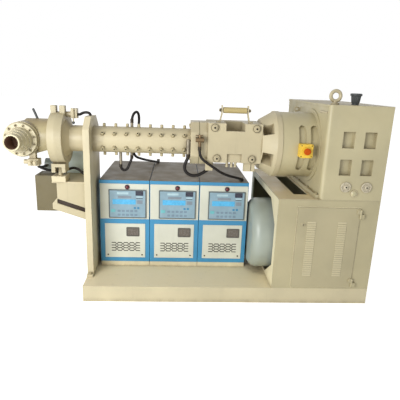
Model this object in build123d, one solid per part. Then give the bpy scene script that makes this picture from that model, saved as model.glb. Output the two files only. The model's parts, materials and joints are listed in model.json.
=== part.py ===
"""Cold-feed pin-barrel rubber extruder with crosshead, drive and temperature units.

Millimetres. +X runs along the screw towards the drive, +Y away from the operator,
+Z up. The origin is the middle of the base's underside.
"""
import os
from math import cos, radians, sin, tan

from build123d import *

# Screw line: lengths along X, in order from the front post to the gearbox
post_thickness = 42
barrel_length = 657
flange_thickness = 56.5
feed_length = 360
adapter_length = 125
drum_length = 239
gearbox_length = 406

# Base frame
base_width = 1100
base_height = 112
deck_thickness = 12
rail_flange = 60
rail_web = 9
cross_rail_count = 5

# Screw axis
axis_height = 1050
axis_setback = 340

# General fits
seat_gap = 0.3
overrun = 5

# Front post
post_depth = 344
post_top_rise = 154
post_chamfer_depth = 87
post_chamfer_rise = 75
post_foot_reach = 36
post_foot_height = 16

# Pin barrel
barrel_radius = 88
pin_rings = 8
pins_per_ring = 6
pin_first = 70
pin_last = 41
pin_seat_depth = 3
pin_seat_radius = 13
pin_radius = 10
pin_height = 24

# Clamp between barrel and head
neck_length = 138
clamp_width = 92
clamp_radius = 177
clamp_wall = 26
clamp_crown = 5
clamp_split = 3
hub_radius = 128
hub_length = 30
ear_width = 35
ear_depth = 44
ear_rise = 40
clamp_foot_depth = 96
clamp_foot_drop = 46
clamp_notch_width = 42
clamp_notch_height = 36

# Support jack below the clamp
jack_radius = 15
jack_pad_depth = 110
jack_pad_height = 40

# Crosshead
head_offset = 216
head_radius = 114
head_front = 134
head_back = 140
head_neck_radius = 126
neck_flat_left = 121
neck_flat_right = 66
die_flange_radius = 106
die_flange_thickness = 26
die_bore_radius = 42
die_bore_depth = 200
nozzle_length = 146
nozzle_tip_radius = 47
nozzle_root_radius = 80
nozzle_steps = 4
head_cap_radius = 100
head_cap_thickness = 22
sensor_radius = 8
sensor_length = 72
sensor_lean_deg = 22
sensor_shift = 70

# Latch block under the head
latch_shift = 38
latch_drop = 124
latch_length = 70
latch_depth = 62
latch_height = 44
latch_web = 5
latch_hanger = 40
latch_lever_radius = 15
latch_lever_length = 31
latch_stud_radius = 9
latch_stud_length = 30

# Cantilever bracket and power pack on the post
bracket_reach = 204
bracket_toe = 34
bracket_half_depth = 90
bracket_top_drop = 287
bracket_plate = 10
bracket_root_height = 262
bracket_end_height = 183
bracket_toe_height = 40
bracket_slot_height = 33
bracket_slot_length = 190
bracket_slot_edge = 56
shelf_reach = 236
shelf_depth = 460
shelf_thickness = 10
tank_overhang = 112
tank_inset = 58
tank_height = 200
tank_tower_height = 38
pump_motor_radius = 90
pump_motor_length = 226
pump_motor_setback = 270
pump_motor_lift = 94
pump_motor_cap = 40
pump_foot_width = 120
pump_foot_length = 110
pump_radius = 46
pump_length = 110
pump_drop = 44

# Valve block above the barrel neck
valve_from_post = 64
valve_length = 40
valve_depth = 54
valve_rise = 112
valve_height = 64
valve_port_radius = 18
valve_port_drop = 40
lever_radius = 4
lever_length = 92
lever_gap = 12
knob_radius = 9

# Feed section
flange_half = 140
flange_chamfer = 60
feed_half_depth = 138
feed_top = 144
feed_bottom = 116
feed_mouth_length = 126
feed_mouth_depth = 170
feed_mouth_drop = 120
feed_plate_thickness = 16
feed_notch_top = 50
feed_notch_length = 98
feed_notch_bottom = 60
boss_radius = 27
boss_height = 8
boss_inset_upper = 42
boss_inset_lower = 62
boss_edge = 29
nut_radius = 15
nut_height = 9
lug_length = 48
lug_depth = 30
lug_height = 58
lug_left_reach = 10
lug_right_inset = 64
lug_end_inset = 36
lug_end_length = 24

# Strip guide roller over the feed mouth
roller_rise = 224
roller_setback = 60
roller_radius = 20
roller_length = 158
roller_side_gap = 5
axle_radius = 9
axle_end = 16
bracket_arm_width = 34
bracket_arm_thickness = 8
arm_foot_length = 26
arm_tip_rise = 32
arm_splay = 12

# Lantern adapter and bearing drum
adapter_small_radius = 170
adapter_large_radius = 222
adapter_core_radius = 104
adapter_lip = 6
adapter_rim = 34
adapter_window_end = 54
adapter_rim_step = 4
adapter_upper_window_deg = (25, 47)
adapter_lower_window_deg = (-40, -12)
drum_radius = 222
drum_collar_radius = 250
drum_collar_thickness = 6
drum_slot_count = 2
drum_slot_width = 48
drum_slot_length = 296
drum_slot_depth = 18
drum_slot_first = 130
drum_slot_spacing = 78

# Emergency stop
estop_width = 84
estop_height = 88
estop_depth = 48
estop_saddle = 12
estop_along = 143
estop_rise = -6
estop_corner = 8
bezel_radius = 27
bezel_height = 7
button_radius = 22
button_height = 15
button_gap = 11
button_stem_radius = 8
button_stem_bore = 30
button_travel = 4

# Gearbox
gearbox_drop = 307
gearbox_rise = 292
gearbox_rear_gap = 18
gearbox_corner = 24
gearbox_lid = 14
gearbox_lid_overhang = 4
gearbox_foot_width = 22
gearbox_foot_height = 26
pocket_width = 76
pocket_height = 102
pocket_depth = 30
pocket_columns = (143, 282)
pocket_rows = (214, 388)
plug_columns = (159, 295)
plug_radius = 34
plug_height = 16
plug_height_above_foot = 88
sight_radius = 24
sight_height = 14
sight_along = 220
sight_above_foot = 46
eye_ring_radius = 31
eye_bar_radius = 11
eye_shank_radius = 15
eye_shank_height = 12
eye_collar_radius = 26
eye_collar_height = 9
eye_along = 63
eye_setback = 100
breather_along = 202
breather_setback = 120
breather_radius = 30
breather_foot_radius = 22
breather_height = 57
breather_cap_radius = 37
breather_cap_height = 14

# Drive cabinet under the gearbox
cabinet_length = 670
cabinet_rear_gap = 100
sheet = 8
opening_front = 64
opening_rear = 70
opening_sill = 14
opening_header = 51
opening_upper_cut = (161, 147)
opening_lower_cut = (185, 130)
slot_length = 576
slot_width = 98
slot_from_left = 129
slot_setback = 130
door_from_left = 131
door_to_right = 126
door_sill = 12
door_header = 45
door_thickness = 12
door_proud = 6
door_gap = 5
hinge_count = 2
hinge_radius = 7
hinge_pin_radius = 4
hinge_leaf = 24
hinge_knuckle = 30
hinge_inset = 38
lock_radius = 11
lock_height = 6
lock_inset = 40
lock_from_top = 118
louvre_count = 25
louvre_width = 58
louvre_height = 9
louvre_depth = 6
louvre_from_bottom = 86
louvre_from_top = 97
louvre_from_left = 68
louvre_to_right = 83

# Main motor
motor_lift = 26
motor_headroom = 87
motor_length = 640
motor_dome = 62
motor_gap = 12
motor_setback = 10
motor_foot_width = 90
motor_foot_spread = 150
motor_foot_length = 380
motor_foot_inset = 210

# Temperature control units
tcu_count = 3
tcu_gap = 3
tcu_post_gap = 24
tcu_end_margin = 141
tcu_drop = 284
tcu_rear_gap = 18
tcu_plinth = 35
tcu_plinth_inset = 6
tcu_lid = 3
tcu_lid_inset = 2
tcu_panel_thickness = 3
tcu_upper_side = 3
tcu_upper_from_top = 28
tcu_upper_height = 260
tcu_lower_left = 33
tcu_lower_right = 30
tcu_lower_from_base = 67
tcu_lower_from_top = 324
keypad_width = 266
keypad_height = 211
keypad_from_right = 22
keypad_from_low = 8
keypad_thickness = 6
lamp_radius = 17
lamp_height = 14
lamp_from_top = 51
lamp_shift = 20

# Hoses: routes from the post, the screw axis or the shelf, then their fittings
hose_radius = 9
collar_hose_radius = 11
bend_share = 0.45
valve_pipe_route = [(-valve_from_post, 0, barrel_radius + valve_rise - valve_port_drop), (-48, 0, 160),
                    (-28, 0, 172), (-4, 0, 176), (14, 0, 171), (21, 0, 162), (21, 0, post_top_rise)]
drop_hose_route = [(178, 0, -171), (178, 0, -192), (192, 2, -216), (220, 6, -212), (237, 14, -170),
                   (252, 21, -134), (252, 21, -108)]
rear_hose_route = [(257, 0, 116), (257, 0, 144), (267, 13, 176), (284, 42, 190), (295, 74, 174),
                   (297, 98, 136), (291, 114, 80), (277, 124, 14), (261, 126, -50), (251, 134, -112),
                   (265, 176, -148), (291, 250, -172), (317, 348, -198), (342, 450, -222),
                   (368, 545, -244), (391, 618, -262), (405, 666, -271), (405, 702, -271)]
collar_hose_route = [(-128, -125, -67), (-128, -125, -94), (-143, -125, -124), (-152, -125, -161),
                     (-138, -123, -196), (-101, -120, -217), (-56, -115, -214), (-19, -106, -194),
                     (13, -90, -176), (32, -73, -157), (32, -73, -134)]
return_hose_route = [(-55, -172, -10), (-55, -172, -40), (-48, -174, -72), (-31, -176, -95),
                     (-7, -177, -112), (19, -174, -131), (54, -161, -155), (94, -137, -185),
                     (139, -102, -210), (187, -62, -230), (229, -28, -245), (260, 0, -259),
                     (271, 26, -271), (271, 50, -271)]
pack_hose_route = [(-359, 204, 50), (-359, 180, 50), (-363, 130, 55), (-365, 80, 65), (-361, 42, 75),
                   (-347, 22, 77), (-321, 18, 65), (-276, 20, 55), (-229, 20, 49), (-179, 20, 53),
                   (-139, 20, 69), (-110, 20, 78), (-81, 20, 69), (-59, 20, 49), (-39, 20, 33),
                   (-21, 20, 29), (-11, 20, 29)]
nipple_radius = 10
elbow_radius = 13
elbow_reach = 24
manifold_radius = 14
manifold_length = 95
manifold_stub_drop = 18
brass_radius = 16
brass_length = 54
brass_lift = 45
brass_stem_radius = 9
brass_stem_length = 30
brass_handle_length = 46
brass_handle_width = 12
brass_handle_height = 5

# Worked-out places
line_lengths = (post_thickness, barrel_length, flange_thickness, flange_thickness,
                feed_length, adapter_length, drum_length, gearbox_length)
base_length = sum(line_lengths)
left_end = -base_length / 2
right_end = base_length / 2
front = -base_width / 2
axis_y = front + axis_setback
post_right = left_end + post_thickness
barrel_end = post_right + barrel_length
feed_start = barrel_end + 2 * flange_thickness
feed_end = feed_start + feed_length
adapter_end = feed_end + adapter_length
gearbox_left = adapter_end + drum_length
clamp_right = left_end - neck_length
clamp_left = clamp_right - clamp_width
clamp_middle = (clamp_left + clamp_right) / 2
head_x = clamp_middle - head_offset
cabinet_top = axis_height - gearbox_drop
gearbox_top = axis_height + gearbox_rise
cabinet_left = right_end - cabinet_length
feed_front = axis_y - feed_half_depth
pin_pitch = (barrel_length - pin_first - pin_last) / (pin_rings - 1)
motor_radius = (cabinet_top - sheet - base_height - motor_headroom - motor_lift) / 2
motor_z = base_height + motor_lift + motor_radius
motor_y = axis_y + motor_setback
shelf_top = axis_height - bracket_top_drop
tcu_top = axis_height - tcu_drop
tcu_depth = base_width - axis_setback - tcu_rear_gap
cabinet_depth = base_width - cabinet_rear_gap
gearbox_depth = cabinet_depth - gearbox_rear_gap
door_width = cabinet_length - door_from_left - door_to_right
door_height = cabinet_top - sheet - base_height - door_sill - door_header
pump_y = axis_y + pump_motor_setback
pump_z = shelf_top + pump_motor_lift - pump_drop
at_post = (left_end, axis_y, axis_height)
at_barrel = (post_right, axis_y, axis_height)
at_feed = (feed_start, axis_y, axis_height)
at_shelf = (left_end, axis_y, shelf_top)


def block(x0, x1, y0, y1, z0, z1):
    """Box between two opposite corners."""
    middle = Pos((x0 + x1) / 2, (y0 + y1) / 2, (z0 + z1) / 2)
    return middle * Box(x1 - x0, y1 - y0, z1 - z0)


def rod_x(radius, x0, x1, y, z):
    """Round bar along X."""
    return Pos((x0 + x1) / 2, y, z) * Rot(0, 90, 0) * Cylinder(radius, x1 - x0)


def rod_y(radius, x, y0, y1, z):
    """Round bar along Y."""
    return Pos(x, (y0 + y1) / 2, z) * Rot(90, 0, 0) * Cylinder(radius, y1 - y0)


def rod_z(radius, x, y, z0, z1):
    """Round bar along Z."""
    return Pos(x, y, (z0 + z1) / 2) * Cylinder(radius, z1 - z0)


def hex_y(radius, x, y0, y1, z):
    """Hexagon bar along Y."""
    face = Plane((x, y1, z), x_dir=(1, 0, 0), z_dir=(0, -1, 0)) * RegularPolygon(radius, 6)
    return extrude(face, amount=y1 - y0)


def plate_xz(points, y0, y1):
    """Flat plate with an outline in X and Z."""
    face = Plane((0, y1, 0), x_dir=(1, 0, 0), z_dir=(0, -1, 0)) * Polygon(*points, align=None)
    return extrude(face, amount=y1 - y0, dir=(0, -1, 0))


def plate_yz(points, x0, x1):
    """Flat plate with an outline in Y and Z."""
    face = Plane((x0, 0, 0), x_dir=(0, 1, 0), z_dir=(1, 0, 0)) * Polygon(*points, align=None)
    return extrude(face, amount=x1 - x0, dir=(1, 0, 0))


def turned_x(points, y, z):
    """Solid turned about a line along X, from points of place and radius."""
    face = Plane((0, y, z), x_dir=(1, 0, 0), z_dir=(0, -1, 0)) * Polygon(*points, align=None)
    return revolve(face, Axis((0, y, z), (1, 0, 0)))


def turned_y(points, x, z):
    """Solid turned about a line along Y, from points of place and radius."""
    face = Plane((x, 0, z), x_dir=(0, 1, 0), z_dir=(1, 0, 0)) * Polygon(*points, align=None)
    return revolve(face, Axis((x, 0, z), (0, 1, 0)))


def chamfered_square(half, chamfer):
    """Octagon outline about the screw axis, in Y and Z."""
    cut = half - chamfer
    outline = [(-half, -cut), (-cut, -half), (cut, -half), (half, -cut),
               (half, cut), (cut, half), (-cut, half), (-half, cut)]
    return [(axis_y + y, axis_height + z) for y, z in outline]


def placed(route, anchor):
    """Points of a hose's route, from the place that it is measured from."""
    return [tuple(a + b for a, b in zip(point, anchor)) for point in route]


def hose(name, route, anchor, radius):
    """Hose of straight runs joined by bends as wide as the runs allow."""
    points = [Vector(*point) for point in placed(route, anchor)]
    bends = []
    for before, corner, after in zip(points, points[1:], points[2:]):
        shorter = min((corner - before).length, (after - corner).length)
        half_turn = radians((corner - before).get_angle(after - corner)) / 2
        bends.append(bend_share * shorter / tan(half_turn))
    path = FilletPolyline(*points, radius=bends)
    tube = sweep(Plane(path @ 0, z_dir=path % 0) * Circle(radius), path)
    section = Circle(radius).area
    print(name, "length", round(path.length), "bends", [round(bend) for bend in bends],
          "volume by section", round(tube.volume / (section * path.length), 3))
    return tube


def base_frame():
    """Channel rails under a deck plate."""
    rail_top = base_height - deck_thickness
    channel = [(0, 0), (rail_flange, 0), (rail_flange, rail_web), (rail_web, rail_web),
               (rail_web, rail_top - rail_web), (rail_flange, rail_top - rail_web),
               (rail_flange, rail_top), (0, rail_top)]
    front_rail = plate_yz([(front + y, z) for y, z in channel], left_end, right_end)
    rear_rail = plate_yz([(-front - y, z) for y, z in channel], left_end, right_end)
    inner = front + rail_flange
    bay = (base_length - rail_flange) / (cross_rail_count - 1)
    cross_rails = []
    for i in range(cross_rail_count):
        start = left_end + i * bay
        outline = [(start + x, z) for x, z in channel]
        if i == cross_rail_count - 1:
            outline = [(right_end - x, z) for x, z in channel]
        cross_rails.append(plate_xz(outline, inner, -inner))
    deck = block(left_end, right_end, front, -front, rail_top, base_height)
    return {"base_side_rails": Compound([front_rail, rear_rail]),
            "base_cross_rails": Compound(cross_rails),
            "deck_plate": deck}


def front_post():
    """Thick upright plate with chamfered shoulders, a foot and the barrel bore."""
    half = post_depth / 2
    top = axis_height + post_top_rise
    shoulder = half - post_chamfer_depth
    outline = [(-half, base_height), (half, base_height), (half, top - post_chamfer_rise),
               (shoulder, top), (-shoulder, top), (-half, top - post_chamfer_rise)]
    post = plate_yz([(axis_y + y, z) for y, z in outline], left_end, post_right)
    foot = block(left_end, post_right, axis_y - half - post_foot_reach, axis_y + half + post_foot_reach,
                 base_height, base_height + post_foot_height)
    bore = rod_x(barrel_radius + seat_gap, left_end - overrun, post_right + overrun,
                 axis_y, axis_height)
    return {"front_post": post + foot - bore}


def pin_barrel():
    """Barrel with its clamp flange and hub, and flat seats for the rows of pins."""
    flange_radius = clamp_radius - clamp_wall
    profile = [(clamp_middle, 0), (clamp_middle, flange_radius),
               (clamp_right, flange_radius), (clamp_right, hub_radius),
               (clamp_right + hub_length, barrel_radius), (barrel_end, barrel_radius),
               (barrel_end, 0)]
    barrel = turned_x(profile, axis_y, axis_height)
    seat = barrel_radius - pin_seat_depth
    seats = []
    pins = []
    for ring in range(pin_rings):
        x = post_right + pin_first + ring * pin_pitch
        for i in range(pins_per_ring):
            turn = Pos(x, axis_y, axis_height) * Rot(i * 360 / pins_per_ring, 0, 0)
            seats.append(turn * Pos(0, 0, seat + overrun) * Cylinder(pin_seat_radius, 2 * overrun))
            pins.append(turn * Pos(0, 0, seat + pin_height / 2) * Cylinder(pin_radius, pin_height))
    return {"pin_barrel": barrel - seats, "barrel_pins": Compound(pins)}


def clamp():
    """Two-part clamp ring with ears on top and a forked foot below."""
    inner = clamp_radius - clamp_wall + seat_gap
    profile = [(clamp_left, inner), (clamp_left, clamp_radius - clamp_crown),
               (clamp_middle, clamp_radius), (clamp_right, clamp_radius - clamp_crown),
               (clamp_right, inner)]
    ring = turned_x(profile, axis_y, axis_height)
    split = clamp_split / 2
    reach = clamp_radius + overrun
    front_half = ring & block(clamp_left, clamp_right, axis_y - reach, axis_y - split,
                              axis_height - reach, axis_height + reach)
    rear_half = ring & block(clamp_left, clamp_right, axis_y + split, axis_y + reach,
                             axis_height - reach, axis_height + reach)
    ear_root = axis_height + clamp_radius - clamp_wall / 2
    ear_top = axis_height + clamp_radius + ear_rise
    for x0 in (clamp_left, clamp_right - ear_width):
        front_half += block(x0, x0 + ear_width, axis_y - split - ear_depth, axis_y - split,
                            ear_root, ear_top)
    foot_bottom = axis_height - clamp_radius - clamp_foot_drop
    foot = block(clamp_left, clamp_right, axis_y - split - clamp_foot_depth, axis_y - split,
                 foot_bottom, axis_height - clamp_radius + clamp_wall / 2)
    notch = block(clamp_middle - clamp_notch_width / 2, clamp_middle + clamp_notch_width / 2,
                  axis_y - reach, axis_y, foot_bottom - overrun, foot_bottom + clamp_notch_height)
    swept = rod_x(clamp_radius - clamp_wall + seat_gap, clamp_left - overrun, clamp_right + overrun,
                  axis_y, axis_height)
    return {"clamp_halves": Compound([front_half + foot - swept - notch, rear_half])}


def support_jack():
    """Screw jack that carries the clamp on the bracket's shelf."""
    y = axis_y - clamp_split / 2 - clamp_foot_depth / 2
    foot_bottom = axis_height - clamp_radius - clamp_foot_drop
    pad = block(clamp_left, clamp_right, y - jack_pad_depth / 2, y + jack_pad_depth / 2,
                shelf_top, shelf_top + jack_pad_height)
    screw = rod_z(jack_radius, clamp_middle, y, shelf_top + jack_pad_height,
                  foot_bottom + clamp_notch_height)
    return {"support_jack": pad + screw}


def crosshead():
    """Head body across the screw line with its rear cap, die flange and stepped nozzle."""
    body_front = axis_y - head_front
    body_back = axis_y + head_back
    flange_radius = clamp_radius - clamp_wall
    body = rod_y(head_radius, head_x, body_front, body_back, axis_height)
    neck = turned_x([(head_x, 0), (head_x, head_neck_radius), (clamp_left, head_neck_radius),
                     (clamp_left, flange_radius), (clamp_middle, flange_radius),
                     (clamp_middle, 0)], axis_y, axis_height)
    low = axis_height - head_neck_radius - overrun
    reach = head_neck_radius + overrun
    neck -= plate_xz([(head_x, low), (head_x, axis_height - neck_flat_left),
                      (clamp_left, axis_height - neck_flat_right), (clamp_left, low)],
                     axis_y - reach, axis_y + reach)
    flange_front = body_front - die_flange_thickness
    tip = flange_front - nozzle_length
    bore = rod_y(die_bore_radius, head_x, tip - overrun, tip + die_bore_depth, axis_height)
    flange = rod_y(die_flange_radius, head_x, flange_front, body_front, axis_height)
    profile = [(flange_front, 0), (flange_front, nozzle_root_radius)]
    step_length = nozzle_length / nozzle_steps
    step_drop = (nozzle_root_radius - nozzle_tip_radius) / nozzle_steps
    for i in range(nozzle_steps):
        radius = nozzle_root_radius - i * step_drop
        end = flange_front - (i + 1) * step_length
        profile += [(end, radius - step_drop / 2), (end, radius - step_drop)]
    profile[-1] = (tip, 0)
    nozzle = turned_y(profile, head_x, axis_height)
    cap = rod_y(head_cap_radius, head_x, body_back, body_back + head_cap_thickness, axis_height)
    return {"head_body": body + neck + cap - bore, "die_flange": flange - bore,
            "die_nozzle": nozzle - bore}


def head_fittings():
    """Latch block hung under the head and the slanting temperature sensor on top."""
    neck = rod_x(head_neck_radius + seat_gap, head_x, clamp_left, axis_y, axis_height)
    body = rod_y(head_radius + seat_gap, head_x, axis_y - head_front, axis_y + head_back, axis_height)
    latch_left = head_x + latch_shift
    latch_top = axis_height - latch_drop
    y0 = axis_y - head_front - die_flange_thickness
    y1 = y0 + latch_depth
    middle = latch_top - latch_height / 2
    latch = block(latch_left, latch_left + latch_length, y0, y1, latch_top - latch_height, latch_top)
    hanger_left = latch_left + latch_web
    latch += block(hanger_left, hanger_left + latch_hanger, axis_y - head_front, y1, latch_top,
                   axis_height - head_radius / 2) - neck - body
    latch += rod_x(latch_lever_radius, latch_left - latch_lever_length, latch_left, (y0 + y1) / 2, middle)
    for share in (0.3, 0.75):
        latch += rod_y(latch_stud_radius, latch_left + share * latch_length, y0 - latch_stud_length, y0,
                       middle)
    lean = radians(sensor_lean_deg)
    x = head_x + sensor_shift
    foot = axis_height + head_neck_radius - sensor_length / 2 * (1 - cos(lean))
    start = Vector(x, axis_y, foot)
    rod = Pos(start) * Rot(0, -sensor_lean_deg, 0) * Pos(0, 0, sensor_length / 2) * Cylinder(
        sensor_radius, sensor_length)
    return {"head_latch": latch, "head_sensor": rod - neck - body}


def pack_bracket():
    """Tapered cantilever bracket on the post: two slotted cheeks and a shelf."""
    top = shelf_top - shelf_thickness
    root = left_end
    tip = left_end - bracket_reach
    toe = tip - bracket_toe
    slope = (bracket_root_height - bracket_end_height) / (bracket_reach + bracket_toe)
    low_root = top - bracket_root_height
    low_toe = top - bracket_end_height
    outline = [(root, top), (tip, top), (tip, low_toe + 2 * bracket_toe_height),
               (toe, low_toe + bracket_toe_height), (toe, low_toe), (root, low_root)]
    slot_right = root - overrun - bracket_plate
    slot_left = slot_right - bracket_slot_length
    slot_low = low_root + bracket_slot_edge
    rise = slope * bracket_slot_length
    slot = [(slot_right, slot_low), (slot_right, slot_low + bracket_slot_height),
            (slot_left, slot_low + rise + bracket_slot_height), (slot_left, slot_low + rise)]
    cheeks = []
    for y0 in (axis_y - bracket_half_depth, axis_y + bracket_half_depth - bracket_plate):
        cheek = plate_xz(outline, y0, y0 + bracket_plate)
        cheeks.append(cheek - plate_xz(slot, y0 - overrun, y0 + bracket_plate + overrun))
    shelf = block(root - shelf_reach, root, axis_y - bracket_half_depth,
                  axis_y - bracket_half_depth + shelf_depth, top, shelf_top)
    return {"bracket_cheeks": Compound(cheeks), "bracket_shelf": shelf}


def power_pack():
    """Small tank at the shelf's end, and the motor with its gear pump on the shelf."""
    under = shelf_top - shelf_thickness
    shelf_left = left_end - shelf_reach
    half = bracket_half_depth - bracket_plate
    tank_left = shelf_left - tank_overhang
    tank = block(tank_left, shelf_left + tank_inset, axis_y - half, axis_y + half,
                 under - tank_height, under)
    tank += block(tank_left, shelf_left, axis_y - half, axis_y + half,
                  under, shelf_top + tank_tower_height)
    z = shelf_top + pump_motor_lift
    x1 = left_end - pump_motor_cap
    x0 = x1 - pump_motor_length
    cap_radius = pump_motor_radius - pump_motor_cap / 2
    profile = [(x0, 0), (x0, cap_radius), (x0 + pump_motor_cap, pump_motor_radius),
               (x1 - pump_motor_cap, pump_motor_radius), (x1, cap_radius), (x1, 0)]
    motor = turned_x(profile, pump_y, z)
    middle = (x0 + x1) / 2
    motor += block(middle - pump_foot_length / 2, middle + pump_foot_length / 2,
                   pump_y - pump_foot_width / 2, pump_y + pump_foot_width / 2, shelf_top, z)
    motor += rod_x(pump_radius, x0 - pump_length, x0, pump_y, pump_z)
    return {"pack_tank": tank, "pump_motor": motor}


def valve_block():
    """Valve block coupled to the clamp above the barrel neck, with a ball lever in front."""
    x1 = left_end - valve_from_post
    x0 = x1 - valve_length
    top = axis_height + barrel_radius + valve_rise
    face = axis_y - valve_depth / 2
    tower = block(x0, x1, face, axis_y + valve_depth / 2, top - valve_height, top)
    port_z = top - valve_port_drop
    coupling = rod_x(valve_port_radius, clamp_right, x0, axis_y, port_z)
    lever_x = (x0 + x1) / 2
    lever_y = face - lever_gap
    lever = rod_y(lever_radius, lever_x, lever_y, face, top - lever_gap)
    lever += rod_z(lever_radius, lever_x, lever_y, top - lever_length, top)
    lever += Pos(lever_x, lever_y, top - lever_length) * Sphere(knob_radius)
    return {"valve_block": tower + coupling + lever}


def feed_section():
    """Bolted flanges, feed housing with its mouth and lugs, and the notched front plate."""
    octagon = chamfered_square(flange_half, flange_chamfer)
    barrel_flange = plate_yz(octagon, barrel_end, barrel_end + flange_thickness)
    feed_flange = plate_yz(octagon, barrel_end + flange_thickness, feed_start)
    top = axis_height + feed_top
    bottom = axis_height - feed_bottom
    housing = block(feed_start, feed_end, feed_front, axis_y + feed_half_depth, bottom, top)
    mouth_left = (feed_start + feed_end - feed_mouth_length) / 2
    mouth_right = mouth_left + feed_mouth_length
    mouth = block(mouth_left, mouth_right, feed_front - overrun, feed_front + feed_mouth_depth,
                  top - feed_mouth_drop, top + overrun)
    sill = top - feed_notch_top
    front_wall = block(mouth_left, mouth_right, feed_front, feed_front + feed_plate_thickness,
                       top - feed_mouth_drop, sill)
    housing = housing - mouth + front_wall + feed_flange
    for lug_x, length in ((feed_start - lug_left_reach, lug_length),
                          (feed_end - lug_right_inset - lug_length, lug_length),
                          (feed_end - lug_end_inset - lug_end_length, lug_end_length)):
        housing += block(lug_x, lug_x + length, feed_front, feed_front + lug_depth,
                         bottom - lug_height, bottom)
    plate_left = feed_start
    plate_right = feed_end
    low = bottom
    notch_left = (plate_left + plate_right - feed_notch_length) / 2
    notch_right = notch_left + feed_notch_length
    outline = [(plate_left, low), (notch_left, low), (notch_left, low + feed_notch_bottom),
               (notch_right, low + feed_notch_bottom), (notch_right, low), (plate_right, low),
               (plate_right, top), (mouth_right, top), (mouth_right, sill), (mouth_left, sill),
               (mouth_left, top), (plate_left, top)]
    plate = plate_xz(outline, feed_front - feed_plate_thickness, feed_front)
    face = feed_front - feed_plate_thickness
    for inset, z in ((boss_inset_lower, bottom + boss_edge), (boss_inset_upper, top - boss_edge)):
        for x in (plate_left + inset, plate_right - inset):
            plate += rod_y(boss_radius, x, face - boss_height, face, z)
            plate += hex_y(nut_radius, x, face - boss_height - nut_height, face - boss_height, z)
    return {"barrel_rear_flange": barrel_flange, "feed_housing": housing, "feed_front_plate": plate}


def guide_roller():
    """Strip guide roller on a fixed axle between two arms above the feed mouth."""
    x = (feed_start + feed_end) / 2
    y = axis_y - roller_setback
    z = axis_height + roller_rise
    deck = axis_height + feed_top
    half = roller_length / 2
    arms = []
    for side in (-1, 1):
        inner = x + side * (half + roller_side_gap)
        outer = inner + side * bracket_arm_thickness
        foot = inner + side * arm_splay
        knee = z - roller_radius - roller_side_gap
        tip = z + arm_tip_rise
        outline = [(inner, tip), (outer, tip), (outer, knee), (foot + outer - inner, deck), (foot, deck),
                   (inner, knee)]
        arm = plate_xz(outline, y - bracket_arm_width / 2, y + bracket_arm_width / 2)
        foot0, foot1 = sorted((foot, foot + side * arm_foot_length))
        arm += block(foot0, foot1, y - bracket_arm_width / 2, y + bracket_arm_width / 2,
                     deck, deck + bracket_arm_thickness)
        x0, x1 = sorted((inner, outer))
        arms.append(arm - rod_x(axle_radius + seat_gap, x0 - overrun, x1 + overrun, y, z))
    reach = half + roller_side_gap + bracket_arm_thickness + axle_end
    axle = rod_x(axle_radius, x - reach, x + reach, y, z)
    roller = rod_x(roller_radius, x - half, x + half, y, z)
    roller -= rod_x(axle_radius + seat_gap, x - half - overrun, x + half + overrun, y, z)
    return {"roller_arms": Compound(arms), "roller_axle": axle, "guide_roller": roller}


def lantern_adapter():
    """Cone and rim between feed housing and drum, with two windows on each side."""
    rim_left = adapter_end - adapter_rim
    rim_radius = drum_radius + adapter_rim_step
    adapter = turned_x([(feed_end, 0), (feed_end, adapter_small_radius), (rim_left, adapter_large_radius),
                        (rim_left, rim_radius), (adapter_end, rim_radius), (adapter_end, 0)],
                       axis_y, axis_height)
    x0 = feed_end + adapter_lip
    x1 = adapter_end - adapter_window_end
    for low, high in (adapter_upper_window_deg, adapter_lower_window_deg):
        reach = rim_radius / cos(radians((high - low) / 2))
        corners = [(-reach * cos(radians(turn)), reach * sin(radians(turn))) for turn in (low, high)]
        window = plate_yz([(0, 0)] + corners, x0, x1) - rod_x(adapter_core_radius, x0, x1, 0, 0)
        for opening in (window, mirror(window, Plane.XZ)):
            adapter -= Pos(0, axis_y, axis_height) * opening
    return {"lantern_adapter": adapter}


def bearing_drum():
    """Thrust-bearing drum with a collar and two long round-ended recesses on its operator side."""
    drum = rod_x(drum_radius, adapter_end, gearbox_left, axis_y, axis_height)
    drum += rod_x(drum_collar_radius, gearbox_left - drum_collar_thickness, gearbox_left, axis_y, axis_height)
    floor = rod_x(drum_radius - drum_slot_depth, adapter_end, gearbox_left, axis_y, axis_height)
    outer = axis_y - drum_collar_radius - overrun
    half = (drum_slot_length - drum_slot_width) / 2
    for i in range(drum_slot_count):
        x = adapter_end + drum_slot_first + i * drum_slot_spacing
        slot = block(x - drum_slot_width / 2, x + drum_slot_width / 2, outer, axis_y,
                     axis_height - half, axis_height + half)
        for z in (axis_height - half, axis_height + half):
            slot += rod_y(drum_slot_width / 2, x, outer, axis_y, z)
        drum -= slot - floor
    return {"bearing_drum": drum}


def emergency_stop():
    """Stop box saddled on the drum, with a mushroom button that presses in."""
    x = adapter_end + estop_along
    z = axis_height + estop_rise
    back = axis_y - drum_radius
    face = back - estop_depth
    box = block(x - estop_width / 2, x + estop_width / 2, face, back + estop_saddle,
                z - estop_height / 2, z + estop_height / 2)
    box = fillet(box.edges().filter_by(Axis.Y), estop_corner)
    box -= rod_x(drum_radius + seat_gap, adapter_end, gearbox_left, axis_y, axis_height)
    box += rod_y(bezel_radius, x, face - bezel_height, face, z)
    box -= rod_y(button_stem_radius + seat_gap, x, face - bezel_height - overrun,
                 face + button_stem_bore, z)
    under = face - bezel_height - button_gap
    button = rod_y(button_radius, x, under - button_height, under, z)
    rim = button.edges().filter_by(GeomType.CIRCLE).sort_by(Axis.Y)[0]
    button = fillet(rim, button_height / 2)
    stem_end = face + button_stem_bore - button_travel - overrun
    button += rod_y(button_stem_radius, x, under, stem_end, z)
    return {"estop_box": box, "estop_button": button}


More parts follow.
